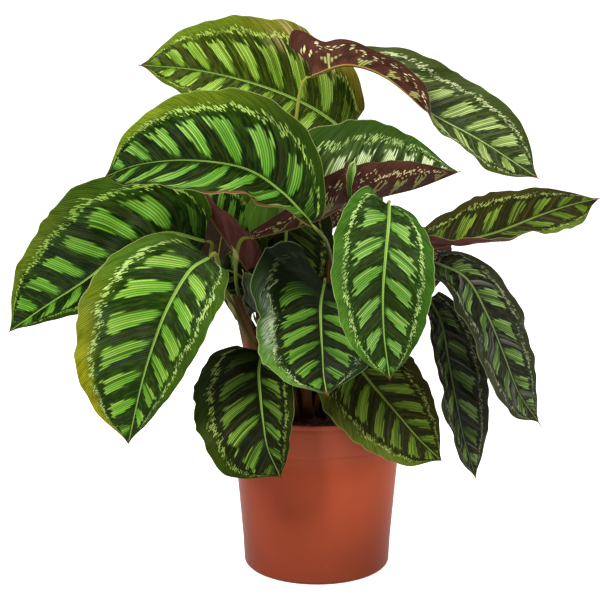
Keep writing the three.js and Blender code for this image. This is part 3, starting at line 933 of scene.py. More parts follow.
@dataclass
class BladeBuilder:
    """Makes the blades: a sheet swept along the midrib, with ruffles, pleats and a rib. Notches and
    overtones are pairs of waves and depth.
    """

    rows: int = 110
    tail_rows: int = 4
    half_columns: int = 24
    column_power: float = 1.45
    thickness: float = 0.7
    widest_at: float = 0.4
    usual_half: float = 72.0
    base_stub: float = 2.4
    tip_stub: float = 0.5
    rib_radius: float = 1.7
    notches: Sequence[tuple[float, float]] = ((4.3, 0.018), (9.7, 0.011), (17.0, 0.004))
    overtones: Sequence[tuple[float, float]] = ((1.7, 0.5), (2.9, 0.35))
    dip_depth: float = 0.6

    @staticmethod
    def along(values: Values, t: Array) -> Array:
        """A value read at shares of the length.

        Args:
            values: Its values at base, middle and tip, or pairs of a share and the value there.
            t: The shares.

        Returns:
            A value for each share.
        """
        if isinstance(values[0], (int, float)):
            base, middle, tip = values
            return middle + (base - middle) * (1 - t) ** 5 + (tip - middle) * t ** 3
        read = np.full_like(t, values[0][1])
        for (low, _), (high, value) in zip(values, values[1:]):
            read = read + (value - read) * smoothstep(low, high, t)
        return read

    def outline(self, t: Array) -> Array:
        """The blade's outline.

        Args:
            t: Shares of its length.

        Returns:
            Its width there, from 0 to 1.
        """
        rise = 0.5
        fall = rise * (1 - self.widest_at) / self.widest_at
        body = (t / self.widest_at) ** rise * ((1 - t) / (1 - self.widest_at)) ** fall
        return body * (1 - 0.3 * bell(1 - t, 0.07))

    def ripples(self, leaf: Leaf, t: Array, v: Array, rng: np.random.Generator) -> Array:
        """The margin's ruffles, from waves and overtones of random phase.

        Args:
            leaf: The leaf.
            t: The share along at each point.
            v: The share across, from -1 to 1.
            rng: What the phases are drawn from.

        Returns:
            The height at each point, in millimetres.
        """
        ruffle = np.zeros_like(t)
        for picked, half in enumerate((leaf.left, leaf.right)):
            waves, depth, phase = half.ruffle
            shape = wave(waves * t + phase)
            for times, share in self.overtones:
                shape = shape + share * wave(waves * times * t + rng.uniform(0, 1))
            ruffle = np.where((v >= 0) == picked, depth * shape, ruffle)
        return ruffle

    @staticmethod
    def dips(t: Array, v: Array, rng: np.random.Generator) -> Array:
        """Broad random dips over the whole blade.

        Args:
            t: The share along at each point.
            v: The share across, from -1 to 1.
            rng: What they are drawn from.

        Returns:
            The height at each point, about 1 deep.
        """
        dips = np.zeros_like(t)
        for _ in range(3):
            along, across = rng.uniform(1.5, 4.0), rng.uniform(0.6, 1.8)
            dips += wave(along * t + across * v + rng.uniform(0, 1))
        return dips

    def sheet(self, leaf: Leaf, index: int) -> tuple[Array, Array, dict[str, Array]]:
        """The blade's two faces and the numbers that its finish reads.

        Args:
            leaf: The leaf.
            index: Its place in the list, which seeds what differs from leaf to leaf.

        Returns:
            The upper and lower points, each rows by columns by 3, in millimetres, and the numbers.
        """
        rng = np.random.default_rng(100 + index)
        rib = Spline(leaf.midrib)
        even = np.linspace(0, 1, self.rows)
        shares = even - 0.1 * wave(even)
        shares[0], shares[-1] = 0, 1
        shares = np.concatenate([shares, np.ones(self.tail_rows)])
        beyond = np.concatenate([np.zeros(self.rows), np.linspace(0, 1, self.tail_rows + 1)[1:]])
        spread = np.linspace(-1, 1, 2 * self.half_columns + 1)
        centre, ahead = rib.at(shares), rib.ahead(shares)
        centre = centre + ahead * (beyond * leaf.tail)[:, None]
        up = np.outer(1 - shares, leaf.faces[0]) + np.outer(shares, leaf.faces[1])
        up = unit(up - ahead * np.sum(up * ahead, -1, keepdims=True))
        right = np.cross(ahead, up)

        t, v = np.meshgrid(shares, np.sign(spread) * np.abs(spread) ** self.column_power, indexing="ij")
        reach, side, halves = np.abs(v), np.sign(v), np.where(v < 0, 0, 1)
        outline = self.outline(t)
        notched = outline * (1 - 0.45 * bell(1 - t, 0.045))
        for waves, depth in self.notches:
            phase = np.where(v < 0, rng.uniform(0, 1), rng.uniform(0, 1))
            notched = notched * (1 + depth * wave(waves * t + phase))
        stub = (self.base_stub + (self.tip_stub - self.base_stub) * t) * (1 - 0.75 * beyond[:, None])

        def pick(key: str) -> Array:
            """A half's value at each point."""
            return np.choose(halves, [self.along(getattr(half, key), t) for half in (leaf.left, leaf.right)])

        width = stub + pick("width") * notched
        fold, curl = np.radians(pick("fold")), np.radians(pick("curl"))
        curl = np.where(np.abs(curl) < 1e-6, 1e-6, curl)
        bend = fold + curl * reach
        out = width * (np.sin(bend) - np.sin(fold)) / curl
        rise = width * (np.cos(fold) - np.cos(bend)) / curl
        lobe = np.choose(halves, leaf.lobes) * bell(t, 0.13) * np.minimum(1, t / 0.03) * reach ** 2
        normal = up[:, None] * np.cos(bend)[..., None] - right[:, None] * (side * np.sin(bend))[..., None]

        # The veins leave the midrib at a slant that grows towards the tip, and bend forward.
        aside = (0.4 * width + 0.6 * self.usual_half * outline) * reach / rib.length
        vein_start = (t - 0.2 * aside - 0.8 * aside ** 2 - 0.045 * reach ** 6) / (1 + 0.8 * aside)
        vein = leaf.veins * vein_start + np.where(v > 0, 0.37, 0.0) + rng.uniform(0, 1) + 20 * index

        ruffle = self.ripples(leaf, t, v, rng) * reach ** 2.5 * outline ** 0.5
        envelope = smoothstep(0.03, 0.3, reach) * (1 - 0.5 * smoothstep(0.7, 1.0, reach)) * outline ** 0.5
        pleat = leaf.pleat * (1 + 1.2 * np.exp(-t / 0.2)) * np.cos(2 * np.pi * (vein - 0.1)) * envelope
        dips = self.dip_depth * self.dips(t, v, rng) * envelope
        middle = centre[:, None] + right[:, None] * (side * out)[..., None] + up[:, None] * rise[..., None]
        middle = middle - ahead[:, None] * lobe[..., None] + normal * (ruffle + pleat + dips)[..., None]

        offset = width * reach
        radius = self.rib_radius * leaf.girth * (1 - 0.72 * t)
        ridge = radius * np.sqrt(np.clip(1 - (offset / (radius * 1.1)) ** 2, 0, 1))
        channel = 0.45 * (1 - 0.6 * t) * bell(offset, radius * 0.5)
        shoulder = 0.35 * (1 - 0.6 * t) * bell(offset - radius, radius * 0.5)
        half_thick = self.thickness / 2 * (1 - 0.55 * smoothstep(0.9, 1.0, reach))
        upper = middle + normal * (half_thick - channel + shoulder)[..., None]
        lower = middle - normal * (half_thick + ridge)[..., None]
        held = {"blade": (t, v, vein), "rib": (offset, vein_start, np.zeros_like(offset))}
        return upper, lower, {name: np.stack([np.stack(three, -1)] * 2) for name, three in held.items()}

    def build(self, leaf: Leaf, index: int, materials: Sequence[bpy.types.Material]) -> bpy.types.Object:
        """Makes the blade, which stands for its construction node.

        Args:
            leaf: The leaf.
            index: Its place in the list.
            materials: Those of the upper side and the underside.

        Returns:
            The piece.
        """
        upper, lower, vectors = self.sheet(leaf, index)
        maker = MeshMaker("blade_" + leaf.name, "leaf")
        sharp = maker.add_sheet(upper, lower, inner_part=1)
        return maker.build(materials, ["leaf_" + leaf.name], vectors, sharp)


@dataclass
class StalkBuilder:
    """Makes the leaf stalks: sheathed at the foot, slim above, with a swollen joint at the blade."""

    rows: int = 72
    sides: int = 14
    radius: float = 1.9
    sheath_radius: float = 3.4
    foot_height: float = 169.0
    joint_length: float = 16.0
    taper_length: float = 8.0
    first_side: Point = (0.3, 1.0, 0.1)

    def build(self, leaf: Leaf, index: int, material: bpy.types.Material) -> bpy.types.Object:
        """Makes the stalk, which stands for its construction node.

        Args:
            leaf: The leaf.
            index: Its place in the list.
            material: Its material.

        Returns:
            The piece.
        """
        rib, base = Spline(leaf.midrib), np.array([0.0])
        end = rib.at(base)[0]
        neck = end - rib.ahead(base)[0] * leaf.neck
        course = Spline([(*leaf.root, self.foot_height), *leaf.via, neck, end], centripetal=True)
        share = np.linspace(0, 1, self.rows)
        centre, way = course.at(share), course.ahead(share)
        turn = round_angles(self.sides)

        side = np.cross(way[0], self.first_side)
        across = []
        for direction in way:
            side = unit(side - direction * np.dot(side, direction))
            across.append(side)
        across = np.array(across)
        other = np.cross(way, across)

        slim = self.sheath_radius + (self.radius - self.sheath_radius) * np.minimum(1, share * 1.6)
        from_end = (1 - share) * course.length
        joint = 0.16 * bell(from_end - self.joint_length / 2, self.joint_length / 2.6)
        joint = joint - 0.65 * np.exp(-from_end / self.taper_length)
        fold = np.mod(turn[None] + 0.5 * index + 1.2 * share[:, None], 2 * np.pi) / (2 * np.pi)
        wrap = 1 + 0.16 * smoothstep(0.5, 0.3, share)[:, None] * (fold - 0.5)
        radius = leaf.girth * slim[:, None] * (1 + joint)[:, None] * wrap
        radius[-1] *= 0.5
        ring = across[:, None] * np.cos(turn)[None, :, None] + other[:, None] * np.sin(turn)[None, :, None]

        maker = MeshMaker("petiole_" + leaf.name, "stalk")
        maker.add_tube(centre[:, None] + ring * radius[..., None], [centre[0], centre[-1]])
        grid, turns = np.meshgrid(share, np.cos(turn), indexing="ij")
        held = np.stack([grid, turns + index, grid * course.length], -1).reshape(-1, 3)
        held = np.vstack([held, [(0, 0, 0), (1, 0, course.length)]])
        return maker.build([material], ["stalk_" + leaf.name], {"stalk": held})


LEAVES = (
    Leaf("high_left", ((35, 55, 468), (-8, 40, 500), (-61, 20, 525), (-123, 0, 543), (-184, -10, 550)),
         ((0.1, -0.75, 0.65), (0, -0.75, 0.65)), Half((66, 66, 56), (0, 0, 10)),
         Half((80, 78, 74), (15, 15, 10)), (-6, 20), ((28, 24, 270), (70, 40, 400)), 22, Tone.OLIVE, veins=9),
    Leaf("broad_left", ((-8, -120, 404), (-37, -130, 437), (-73, -140, 462), (-126, -150, 472),
         (-176, -145, 467), (-211, -135, 453)), ((0, -0.85, 0.5), (0, -0.75, 0.65)),
         Half(((0, 14), (0.15, 24), (0.35, 46), (0.6, 60), (1, 72)), (55, 27, 30), (0, 10, 0)),
         Half((30, 76, 80), (15, 15, 10), (0, 10, 0)), (2, -6),
         ((14, -8, 304), (15, -20, 334), (10, -60, 370)), 12, Tone.BROAD, veins=8),
    Leaf("far_left", ((-118, -50, 371), (-158, -62, 382), (-199, -75, 367), (-240, -80, 336),
         (-283, -75, 307), (-322, -65, 278)), ((0, -0.85, 0.5), (0, -0.85, 0.5)), Half((40, 38, 14)),
         Half((74, 80, 92), (5, 5, 5), (0, 10, 0)), (-40, 2),
         ((-65, -24, 253), (-97, -37, 305), (-112, -45, 352)), 8, veins=7.5),
    Leaf("low_left", ((-111, -105, 365), (-129, -130, 357), (-148, -155, 329), (-162, -170, 296),
         (-176, -175, 251), (-191, -165, 187)), ((-0.1, -0.8, 0.6), (0, -1, -0.1)),
         Half((58, 46, 26), (0, 5, 0)), Half((74, 80, 90), (0, 5, 0)), (-36, -10),
         ((-46, -24, 219), (-76, -45, 274), (-99, -76, 332)), 10, Tone.LOW, girth=1.4, veins=7.5),
    Leaf("pot_left", ((-58, -60, 256), (-61, -90, 241), (-59, -116, 223), (-56, -138, 203), (-51, -150, 177),
         (-38, -154, 148)), ((0, -0.5, 0.85), (0, -1, 0.1)), Half((40, 34, 42), (10, 20, 20)),
         Half((64, 64, 110), (0, 5, 0)), (-24, -22), ((-44, -40, 215),), 6, Tone.DEEP, veins=6),
    Leaf("centre", ((7, -30, 321), (3, -75, 309), (3, -115, 292), (4, -145, 277), (5, -170, 260),
         (8, -188, 245)), ((0, -0.3, 1), (0, -0.7, 0.7)), Half((60, 55, 90), (0, 5, 0)),
         Half(((0, 96), (0.16, 92), (0.4, 62), (1, 98)), ((0, 50), (0.16, 44), (0.38, 5), (1, 0)),
         ruffle=(5, 2.4, 0)), (-6, 4), ((-2, 0, 240),), 10, Tone.SILVERED, lobes=(9, 28), veins=7),
    Leaf("centre_right", ((72, -95, 417), (70, -128, 404), (66, -156, 376), (63, -176, 343), (64, -188, 305),
         (70, -190, 261)), ((0, -0.5, 0.85), (0, -1, 0.1)), Half((18, 49, 62), (0, 5, 0)),
         Half((60, 50, 56), (30, 5, 0), ruffle=(5, 2.4, 0.2)), (11, -8), ((38, -32, 290), (64, -62, 388)), 8,
         Tone.BRIGHT, lobes=(2, 24), veins=6.5),
    Leaf("pot_right", ((22, -50, 259), (38, -75, 247), (59, -98, 226), (82, -113, 202), (104, -122, 178),
         (127, -125, 156)), ((0, -0.5, 0.85), (0.1, -0.9, 0.3)), Half((50, 50, 44), (0, 5, 0)),
         Half((54, 58, 60), (0, 5, 0), ruffle=(5, 1.8, 0)), (7, -18), ((14, -30, 222),), 6, Tone.RUSSET,
         pleat=0.8, veins=7.5),
    Leaf("high_right", ((-6, -10, 538), (31, -5, 549), (71, 0, 536), (118, 0, 499), (171, -10, 471),
         (230, -25, 434)), ((0, 0, 1), (0.3, -0.9, 0.5)), Half((0, 60, 80), (20, 15, 10), (0, 10, 0)),
         Half(((0, 100), (0.045, 100), (0.12, 34), (0.22, 22), (0.45, 20), (0.6, 32), (0.8, 46), (1, 48)),
         ((0, 115), (0.1, 100), (0.42, 95), (0.56, 0), (0.75, -15), (1, -15)),
         ((0, -40), (0.12, 0), (0.42, 0), (0.6, 60), (1, 20)), (3, 3, 0)), (-10, 10),
         ((-18, 22, 330), (-24, 20, 395), (-25, -8, 445), (-23, -18, 490)), 8, Tone.GLOSSY, lobes=(9, 20),
         veins=9),
    Leaf("folded", ((-69, -70, 379), (-31, -62, 386), (2, -52, 395), (28, -47, 407), (70, -45, 418),
         (104, -47, 427), (145, -50, 444)), ((-0.3, -0.5, 0.8), (0, -0.3, 0.95)),
         Half((58, 84, 120), (32, 60, 40)), Half((24, 52, 70), (30, 55, 60), (60, 60, 30)), (-26, -2),
         ((-57, -20, 251), (-80, -48, 305), (-85, -72, 345)), 10, Tone.PALE, veins=9),
    Leaf("mid_right", ((108, -66, 365), (141, -74, 374), (182, -76, 385), (228, -70, 402), (260, -65, 412),
         (289, -60, 418)), ((0, -0.6, 0.8), (0, -0.6, 0.8)), Half((34, 46, 24), (20, 15, 10)),
         Half((50, 28, 56), (95, -5, -15), (0, 95, -80), (4, 2.0, 0)), (16, 0), ((48, -18, 272),), 14,
         Tone.RUSSET, veins=7),
    Leaf("outer_right", ((120, -75, 354), (152, -85, 339), (174, -92, 302), (192, -92, 260), (209, -86, 218),
         (232, -78, 183)), ((0.3, -0.6, 0.8), (0.6, -0.8, 0.1)), Half((32, 40, 50), (0, 5, 0)),
         Half((38, 42, 46), (0, 20, 0)), (18, 10), ((62, -24, 285),), 14, Tone.GREYED, pleat=1.0, tail=9,
         veins=6.5),
    Leaf("inner_right", ((117, -45, 309), (130, -56, 283), (138, -62, 241), (146, -68, 201), (155, -70, 161),
         (168, -70, 120)), ((0.3, -0.8, 0.6), (0.3, -1, 0.1)), Half((28, 40, 40), (0, 5, 0)),
         Half((24, 25, 32), (20, 40, 30)), (18, -6), ((76, -24, 262), (106, -36, 316)), 8, Tone.GREYED,
         pleat=0.8, veins=6.5),
    Leaf("behind_left", ((-74, -25, 334), (-97, -19, 365), (-117, -9, 393), (-136, 2, 421), (-154, 12, 446)),
         ((0, -1, 0.2), (0, -0.9, 0.4)), Half(((0, 40), (0.12, 36), (0.32, 23), (0.55, 14), (1, 12)),
         (145, 145, 145), (15, 15, 15)), Half((44, 50, 46), (0, 5, 0)), (-14, -8), ((-50, -32, 258),), 16,
         Tone.FRESH),
    Leaf("behind_centre", ((-28, 6, 404), (-33, -5, 372), (-33, -13, 336), (-31, -18, 304), (-30, -20, 274)),
         ((0, -0.8, 0.6), (0, -1, 0.1)), Half((58, 58, 50), (-25, -20, -20)), Half((42, 42, 42), (0, 5, 0)),
         (-18, 14), ((-30, 38, 300), (-31, 38, 385)), 10, Tone.DEEP, lobes=(30, 9)),
    Leaf("back_left", ((-48, 58, 380), (-70, 92, 394), (-92, 124, 378), (-108, 150, 338), (-116, 164, 288)),
         ((0, 0, 1), (-0.4, 0.9, 0.3)), Half((60, 54, 54), (5, 10, 5)), Half((60, 54, 54), (5, 10, 5)),
         (-32, 14), ((-48, 36, 290),), 16, Tone.FRESH),
    Leaf("back_low_left", ((-66, 30, 302), (-96, 54, 316), (-124, 80, 304), (-144, 102, 272),
         (-154, 116, 228)), ((-0.3, -0.4, 1), (-0.6, 0.8, 0.2)), Half((60, 52, 46), (5, 10, 5)),
         Half((60, 52, 46), (5, 10, 5)), (-40, 10), ((-54, 18, 240),), 12, Tone.DEEP),
    Leaf("back_centre", ((-6, 74, 410), (-4, 112, 428), (0, 152, 415), (4, 188, 376), (8, 210, 322)),
         ((0, 0, 1), (0, 1, 0.3)), Half((60, 60, 60), (5, 10, 5)), Half((60, 60, 60), (5, 10, 5)), (-10, 24),
         ((-2, 54, 300),), 16, Tone.BRIGHT),
    Leaf("back_right", ((52, 66, 338), (76, 98, 352), (98, 128, 338), (114, 156, 304), (122, 174, 256)),
         ((0, 0, 1), (0.4, 0.9, 0.3)), Half((56, 54, 54), (5, 10, 5)), Half((56, 54, 54), (5, 10, 5)),
         (12, 16), ((40, 36, 262),), 16, Tone.FRESH),
    Leaf("back_low", ((-10, 52, 270), (-14, 86, 282), (-18, 118, 266), (-20, 142, 232), (-20, 154, 186)),
         ((0, 0, 1), (0, 1, 0.2)), Half((48, 46, 46), (5, 10, 5)), Half((48, 46, 46), (5, 10, 5)), (-24, 20),
         ((-26, 36, 226),), 12, Tone.DEEP),
    Leaf("back_low_right", ((38, 48, 262), (56, 78, 270), (72, 106, 252), (82, 126, 218), (88, 136, 174)),
         ((0, 0, 1), (0.3, 1, 0.2)), Half((44, 42, 42), (5, 10, 5)), Half((44, 42, 42), (5, 10, 5)), (4, 20),
         ((18, 38, 222),), 12, Tone.FRESH),
    Leaf("furled", ((32, -78, 422), (32, -80, 436), (34, -82, 449), (37, -83, 461)),
         ((0, -1, 0.2), (0, -1, 0.2)), Half((13, 17, 12), curl=(150, 165, 60), ruffle=(1, 0, 0)),
         Half((13, 17, 12), curl=(150, 165, 90), ruffle=(1, 0, 0)), (7, -2),
         ((25, -19, 300), (30, -32, 345), (31, -68, 390)), 8, Tone.NEW, girth=0.8, pleat=0.1),
    Leaf("young", ((-67, -60, 297), (-70, -64, 313), (-72, -68, 328), (-77, -71, 343)),
         ((0.3, -1, 0.3), (0.3, -1, 0.3)), Half((12, 14, 12), curl=(60, 90, 60), ruffle=(2, 0.8, 0)),
         Half((12, 14, 12), curl=(40, 60, 40), ruffle=(2, 0.8, 0)), (-16, -18), ((-40, -52, 250),), 8,
         Tone.UNRIPE, girth=0.8, pleat=0.1),
)


UNPATTERNED = ("behind_left", "mid_right")
# Leaves inside the clump, whose undersides get a darker, plain finish of painted shade.
SHADED = ("back_left", "back_low_left", "back_low", "back_low_right")


@dataclass
class Foliage:
    """All the leaves."""

    blades: BladeBuilder = field(default_factory=BladeBuilder)
    stalks: StalkBuilder = field(default_factory=StalkBuilder)

    def build(self) -> None:
        """Makes each blade and stalk."""
        tones = {tone: tone.value.build() for tone in Tone}
        usual = UndersideFinish("leaf_underside").build()
        plain = UndersideFinish("leaf_underside_plain", "704036", "563028", pattern=0.0)
        # Painted shade: a darker, plain underside for the leaves inside the clump.
        deep = UndersideFinish("leaf_underside_painted_shade", "3e2c18", "22190b", pattern=0.0)
        under = {**dict.fromkeys(UNPATTERNED, plain.build()), **dict.fromkeys(SHADED, deep.build())}
        stalk = StalkFinish("stalk").build()
        for index, leaf in enumerate(LEAVES):
            self.blades.build(leaf, index, [tones[leaf.tone], under.get(leaf.name, usual)])
            self.stalks.build(leaf, index, stalk)


@dataclass(frozen=True)
class Scale:
    """A dry scale or sheath round the stalks: its course in millimetres, its radius at foot, middle
    and top, the share of a turn that it reaches round and where that turn begins.
    """

    name: str
    course: Sequence[Point]
    radius: Triple
    wrap: float = 0.8
    start: float = 0.0
    tatter: float = 1.0


SCALES = (
    Scale("sheath_left", ((-36, -8, 166), (-56, -18, 204), (-68, -30, 246), (-76, -40, 277), (-83, -47, 301),
                          (-90, -54, 326)), (8.0, 9.0, 5.0)),
    Scale("sheath_middle", ((-28, -8, 166), (-42, -18, 212), (-49, -26, 247), (-55, -36, 278),
                            (-60, -43, 314)), (9.0, 11.0, 8.0), start=0.1),
    Scale("sheath_inner", ((4, 4, 166), (9, 4, 240), (12, 4, 300), (14, 4, 352)), (6.0, 6.5, 3.0), start=0.2),
    Scale("sheath_front_a", ((-10, -20, 168), (-11, -27, 200), (-8, -30, 240)), (6.5, 5.0, 1.0)),
    Scale("sheath_front_b", ((2, -16, 168), (4, -22, 196), (8, -27, 230)), (6.0, 5.0, 1.0), start=0.4),
    Scale("sheath_front_c", ((-22, -20, 168), (-27, -30, 198), (-34, -38, 232)), (6.5, 5.5, 1.0), start=0.2),
    Scale("sheath_right", ((13, -8, 168), (22, -14, 200), (34, -20, 236)), (6.0, 5.0, 1.0), start=0.5),
)
DRIED = (
    Scale("bract", ((-86, -72, 351), (-84, -73, 360), (-89, -74, 372)), (2.4, 2.6, 0.4), wrap=0.45, tatter=3),
    Scale("husk", ((-84, -70, 292), (-89, -72, 304), (-95, -73, 316)), (1.6, 2.6, 0.5), wrap=0.45, tatter=3),
)


@dataclass
class Scales:
    """The dry sheaths and scales between the stalks, which the construction has no nodes for."""

    rows: int = 40
    columns: int = 25
    thickness: float = 0.5
    first_seed: int = 300

    def build(self) -> None:
        """Makes each scale."""
        sheath = StalkFinish("dry_sheath", "3a2016", "8c5c3a", "5c4826").build()
        husk = StalkFinish("dried_bract", "747038", "a6a460", "b0b670").build()
        for k, scale in enumerate(SCALES + DRIED):
            self.build_one(scale, sheath if scale in SCALES else husk, self.first_seed + k)

    def build_one(self, scale: Scale, finish: bpy.types.Material, seed: int) -> None:
        """Makes one scale as a curved sheet with an uneven upper edge.

        Args:
            scale: The scale.
            finish: Its material.
            seed: What its unevenness starts from.
        """
        rng = np.random.default_rng(seed)
        course = Spline(scale.course)
        even = [np.linspace(0, 1, count) for count in (self.rows, self.columns)]
        share, turn = np.meshgrid(*even, indexing="ij")
        ragged = sum(wave(k * turn + rng.uniform(0, 1)) / k for k in (1, 2, 3, 5))
        reached = np.clip(share * (1 - 0.04 * scale.tatter * (1 + ragged * share)), 0, 1)
        centre, way = course.at(reached), course.ahead(reached)
        low, middle, top = scale.radius
        radius = np.where(reached < 0.5, low + (middle - low) * reached * 2,
                          middle + (top - middle) * smoothstep(0.5, 1, reached))
        radius = radius * (1 + 0.05 * wave(4 * turn + 2 * share + rng.uniform(0, 1)))
        angle = 2 * np.pi * (scale.start + scale.wrap * (turn - 0.5) * (1 - 0.25 * share)) - np.pi / 2
        side = unit(np.cross(way, (0.0, 1.0, 0.0)))
        spoke = side * np.cos(angle)[..., None] + np.cross(side, way) * np.sin(angle)[..., None]

        maker = MeshMaker(scale.name, "stalk")
        maker.add_sheet(*(centre + spoke * (radius - inward)[..., None] for inward in (0, self.thickness)))
        held = np.stack([reached, turn * 2 + seed, reached * course.length], -1)
        maker.build([finish], vectors={"stalk": np.stack([held, held])})


# ---- Pot and soil ----
@dataclass
class Pot:
    """The nursery pot, turned from a profile that follows the construction node, in millimetres."""

    height: float = 183.0
    rim_radius: float = 95.0
    rim_bead: float = 1.3
    base_radius: float = 79.5
    wall: float = 1.8
    collar_height: float = 38.0
    collar_step: float = 0.9
    collar_rise: float = 1.6
    lip_height: float = 5.0
    foot_width: float = 9.0
    foot_height: float = 4.0
    rounding: float = 5.0
    pad_radius: float = 24.0
    drain_holes: int = 6
    drain_radius: float = 5.0
    drain_circle: float = 48.0
    drill_length: float = 20.0
    sides: int = 180

    def outer(self, z: float) -> float:
        """The collar's radius at a height, which the wall below stands one step back from."""
        return self.base_radius + (self.rim_radius - self.base_radius) * z / self.height

    def inner(self, z: float) -> float:
        """The inner radius at a height."""
        return self.outer(z) - self.collar_step - self.wall

    def profile(self) -> list[tuple[float, float]]:
        """The section, from the pad's middle outward, up and back inside.

        Returns:
            Pairs of radius and height, in millimetres.
        """
        top, step, slope = self.height, self.collar_step, 1.5
        foot_out = self.base_radius - self.rounding
        foot_in = foot_out - self.foot_width
        floor = self.foot_height + self.wall
        points = [(0, 0), (self.pad_radius, 0), (self.pad_radius + slope, self.foot_height),
                  (foot_in - slope, self.foot_height), (foot_in, 0), (foot_out, 0)]
        lean = self.outer(self.rounding) - foot_out
        for angle in (k / 8 * math.pi / 2 for k in range(1, 9)):
            points.append((foot_out + lean * math.sin(angle), self.rounding * (1 - math.cos(angle))))
        collar = top - self.collar_height
        for z in (self.rounding + (collar - self.rounding) * k / 30 for k in range(1, 30)):
            points.append((self.outer(z) - step * min(1, z / 30), z))
        for share, drop in ((0, 1.0), (0.2, 1.1), (0.5, 1.1), (0.75, 0.6), (1, 0.05)):
            points.append((self.outer(collar) - step * drop, collar + self.collar_rise * share))
        lip = top - self.lip_height
        points += [(self.outer(z), z) for z in np.linspace(collar + 2.4, lip - 1.2, 8)]
        points += [(self.outer(lip) - back, lip + up) for back, up in ((0.45, -0.5), (0.5, 0), (0.1, 0.6))]
        for angle in (k / 8 * math.pi for k in range(9)):
            points.append((self.rim_radius - self.rim_bead + self.rim_bead * math.cos(angle),
                           top - self.rim_bead + self.rim_bead * math.sin(angle)))
        points += [(self.inner(z), z) for z in np.linspace(top - 6, floor + 4, 12)]
        return points + [(self.inner(floor) - 1.2, floor + 1), (self.inner(floor) - 4, floor), (0, floor)]

    def build(self) -> None:
        """Makes the pot, with its drain holes cut through."""
        away, height = np.array(self.profile()).T
        maker = MeshMaker("pot_shell", "pot_plastic")
        maker.add_tube(turned(away[1:-1], height[1:-1], self.sides), [(0, 0, height[0]), (0, 0, height[-1])])
        self.drill(maker.build([PotFinish("pot_plastic").build()], ["pot"]))

    def drill(self, pot: bpy.types.Object) -> None:
        """Cuts the drain holes through the floor.

        Args:
            pot: The pot's piece.
        """
        drills = []
        for angle in (2 * math.pi * k / self.drain_holes for k in range(self.drain_holes)):
            place = Vector((math.cos(angle), math.sin(angle), 0)) * self.drain_circle * MM
            bpy.ops.mesh.primitive_cylinder_add(
                vertices=32, radius=self.drain_radius * MM, depth=self.drill_length * MM,
                location=place + Vector((0, 0, self.foot_height * MM)))
            drills.append(bpy.context.object)
        for drill in drills:
            cut = pot.modifiers.new("drain", "BOOLEAN")
            cut.operation, cut.object, cut.solver = "DIFFERENCE", drill, "EXACT"
        graph = bpy.context.evaluated_depsgraph_get()
        drilled = bpy.data.meshes.new_from_object(pot.evaluated_get(graph))
        pot.modifiers.clear()
        pot.data = drilled
        for drill in drills:
            bpy.data.objects.remove(drill)


@dataclass(frozen=True)
class Bits:
    """Loose bits of one kind on the soil: their name, number, size in millimetres, finish and seed."""

    name: str
    count: int
    size: float
    finish: EarthFinish
    seed: int


BITS = (
    Bits("bark_crumbs", 900, 1.5, EarthFinish("bark_crumbs", "281a12", "704c32", 180), 21),
    Bits("pale_grit", 130, 0.9, EarthFinish("pale_grit", "969288", "d4d0c6", 300), 22),
)


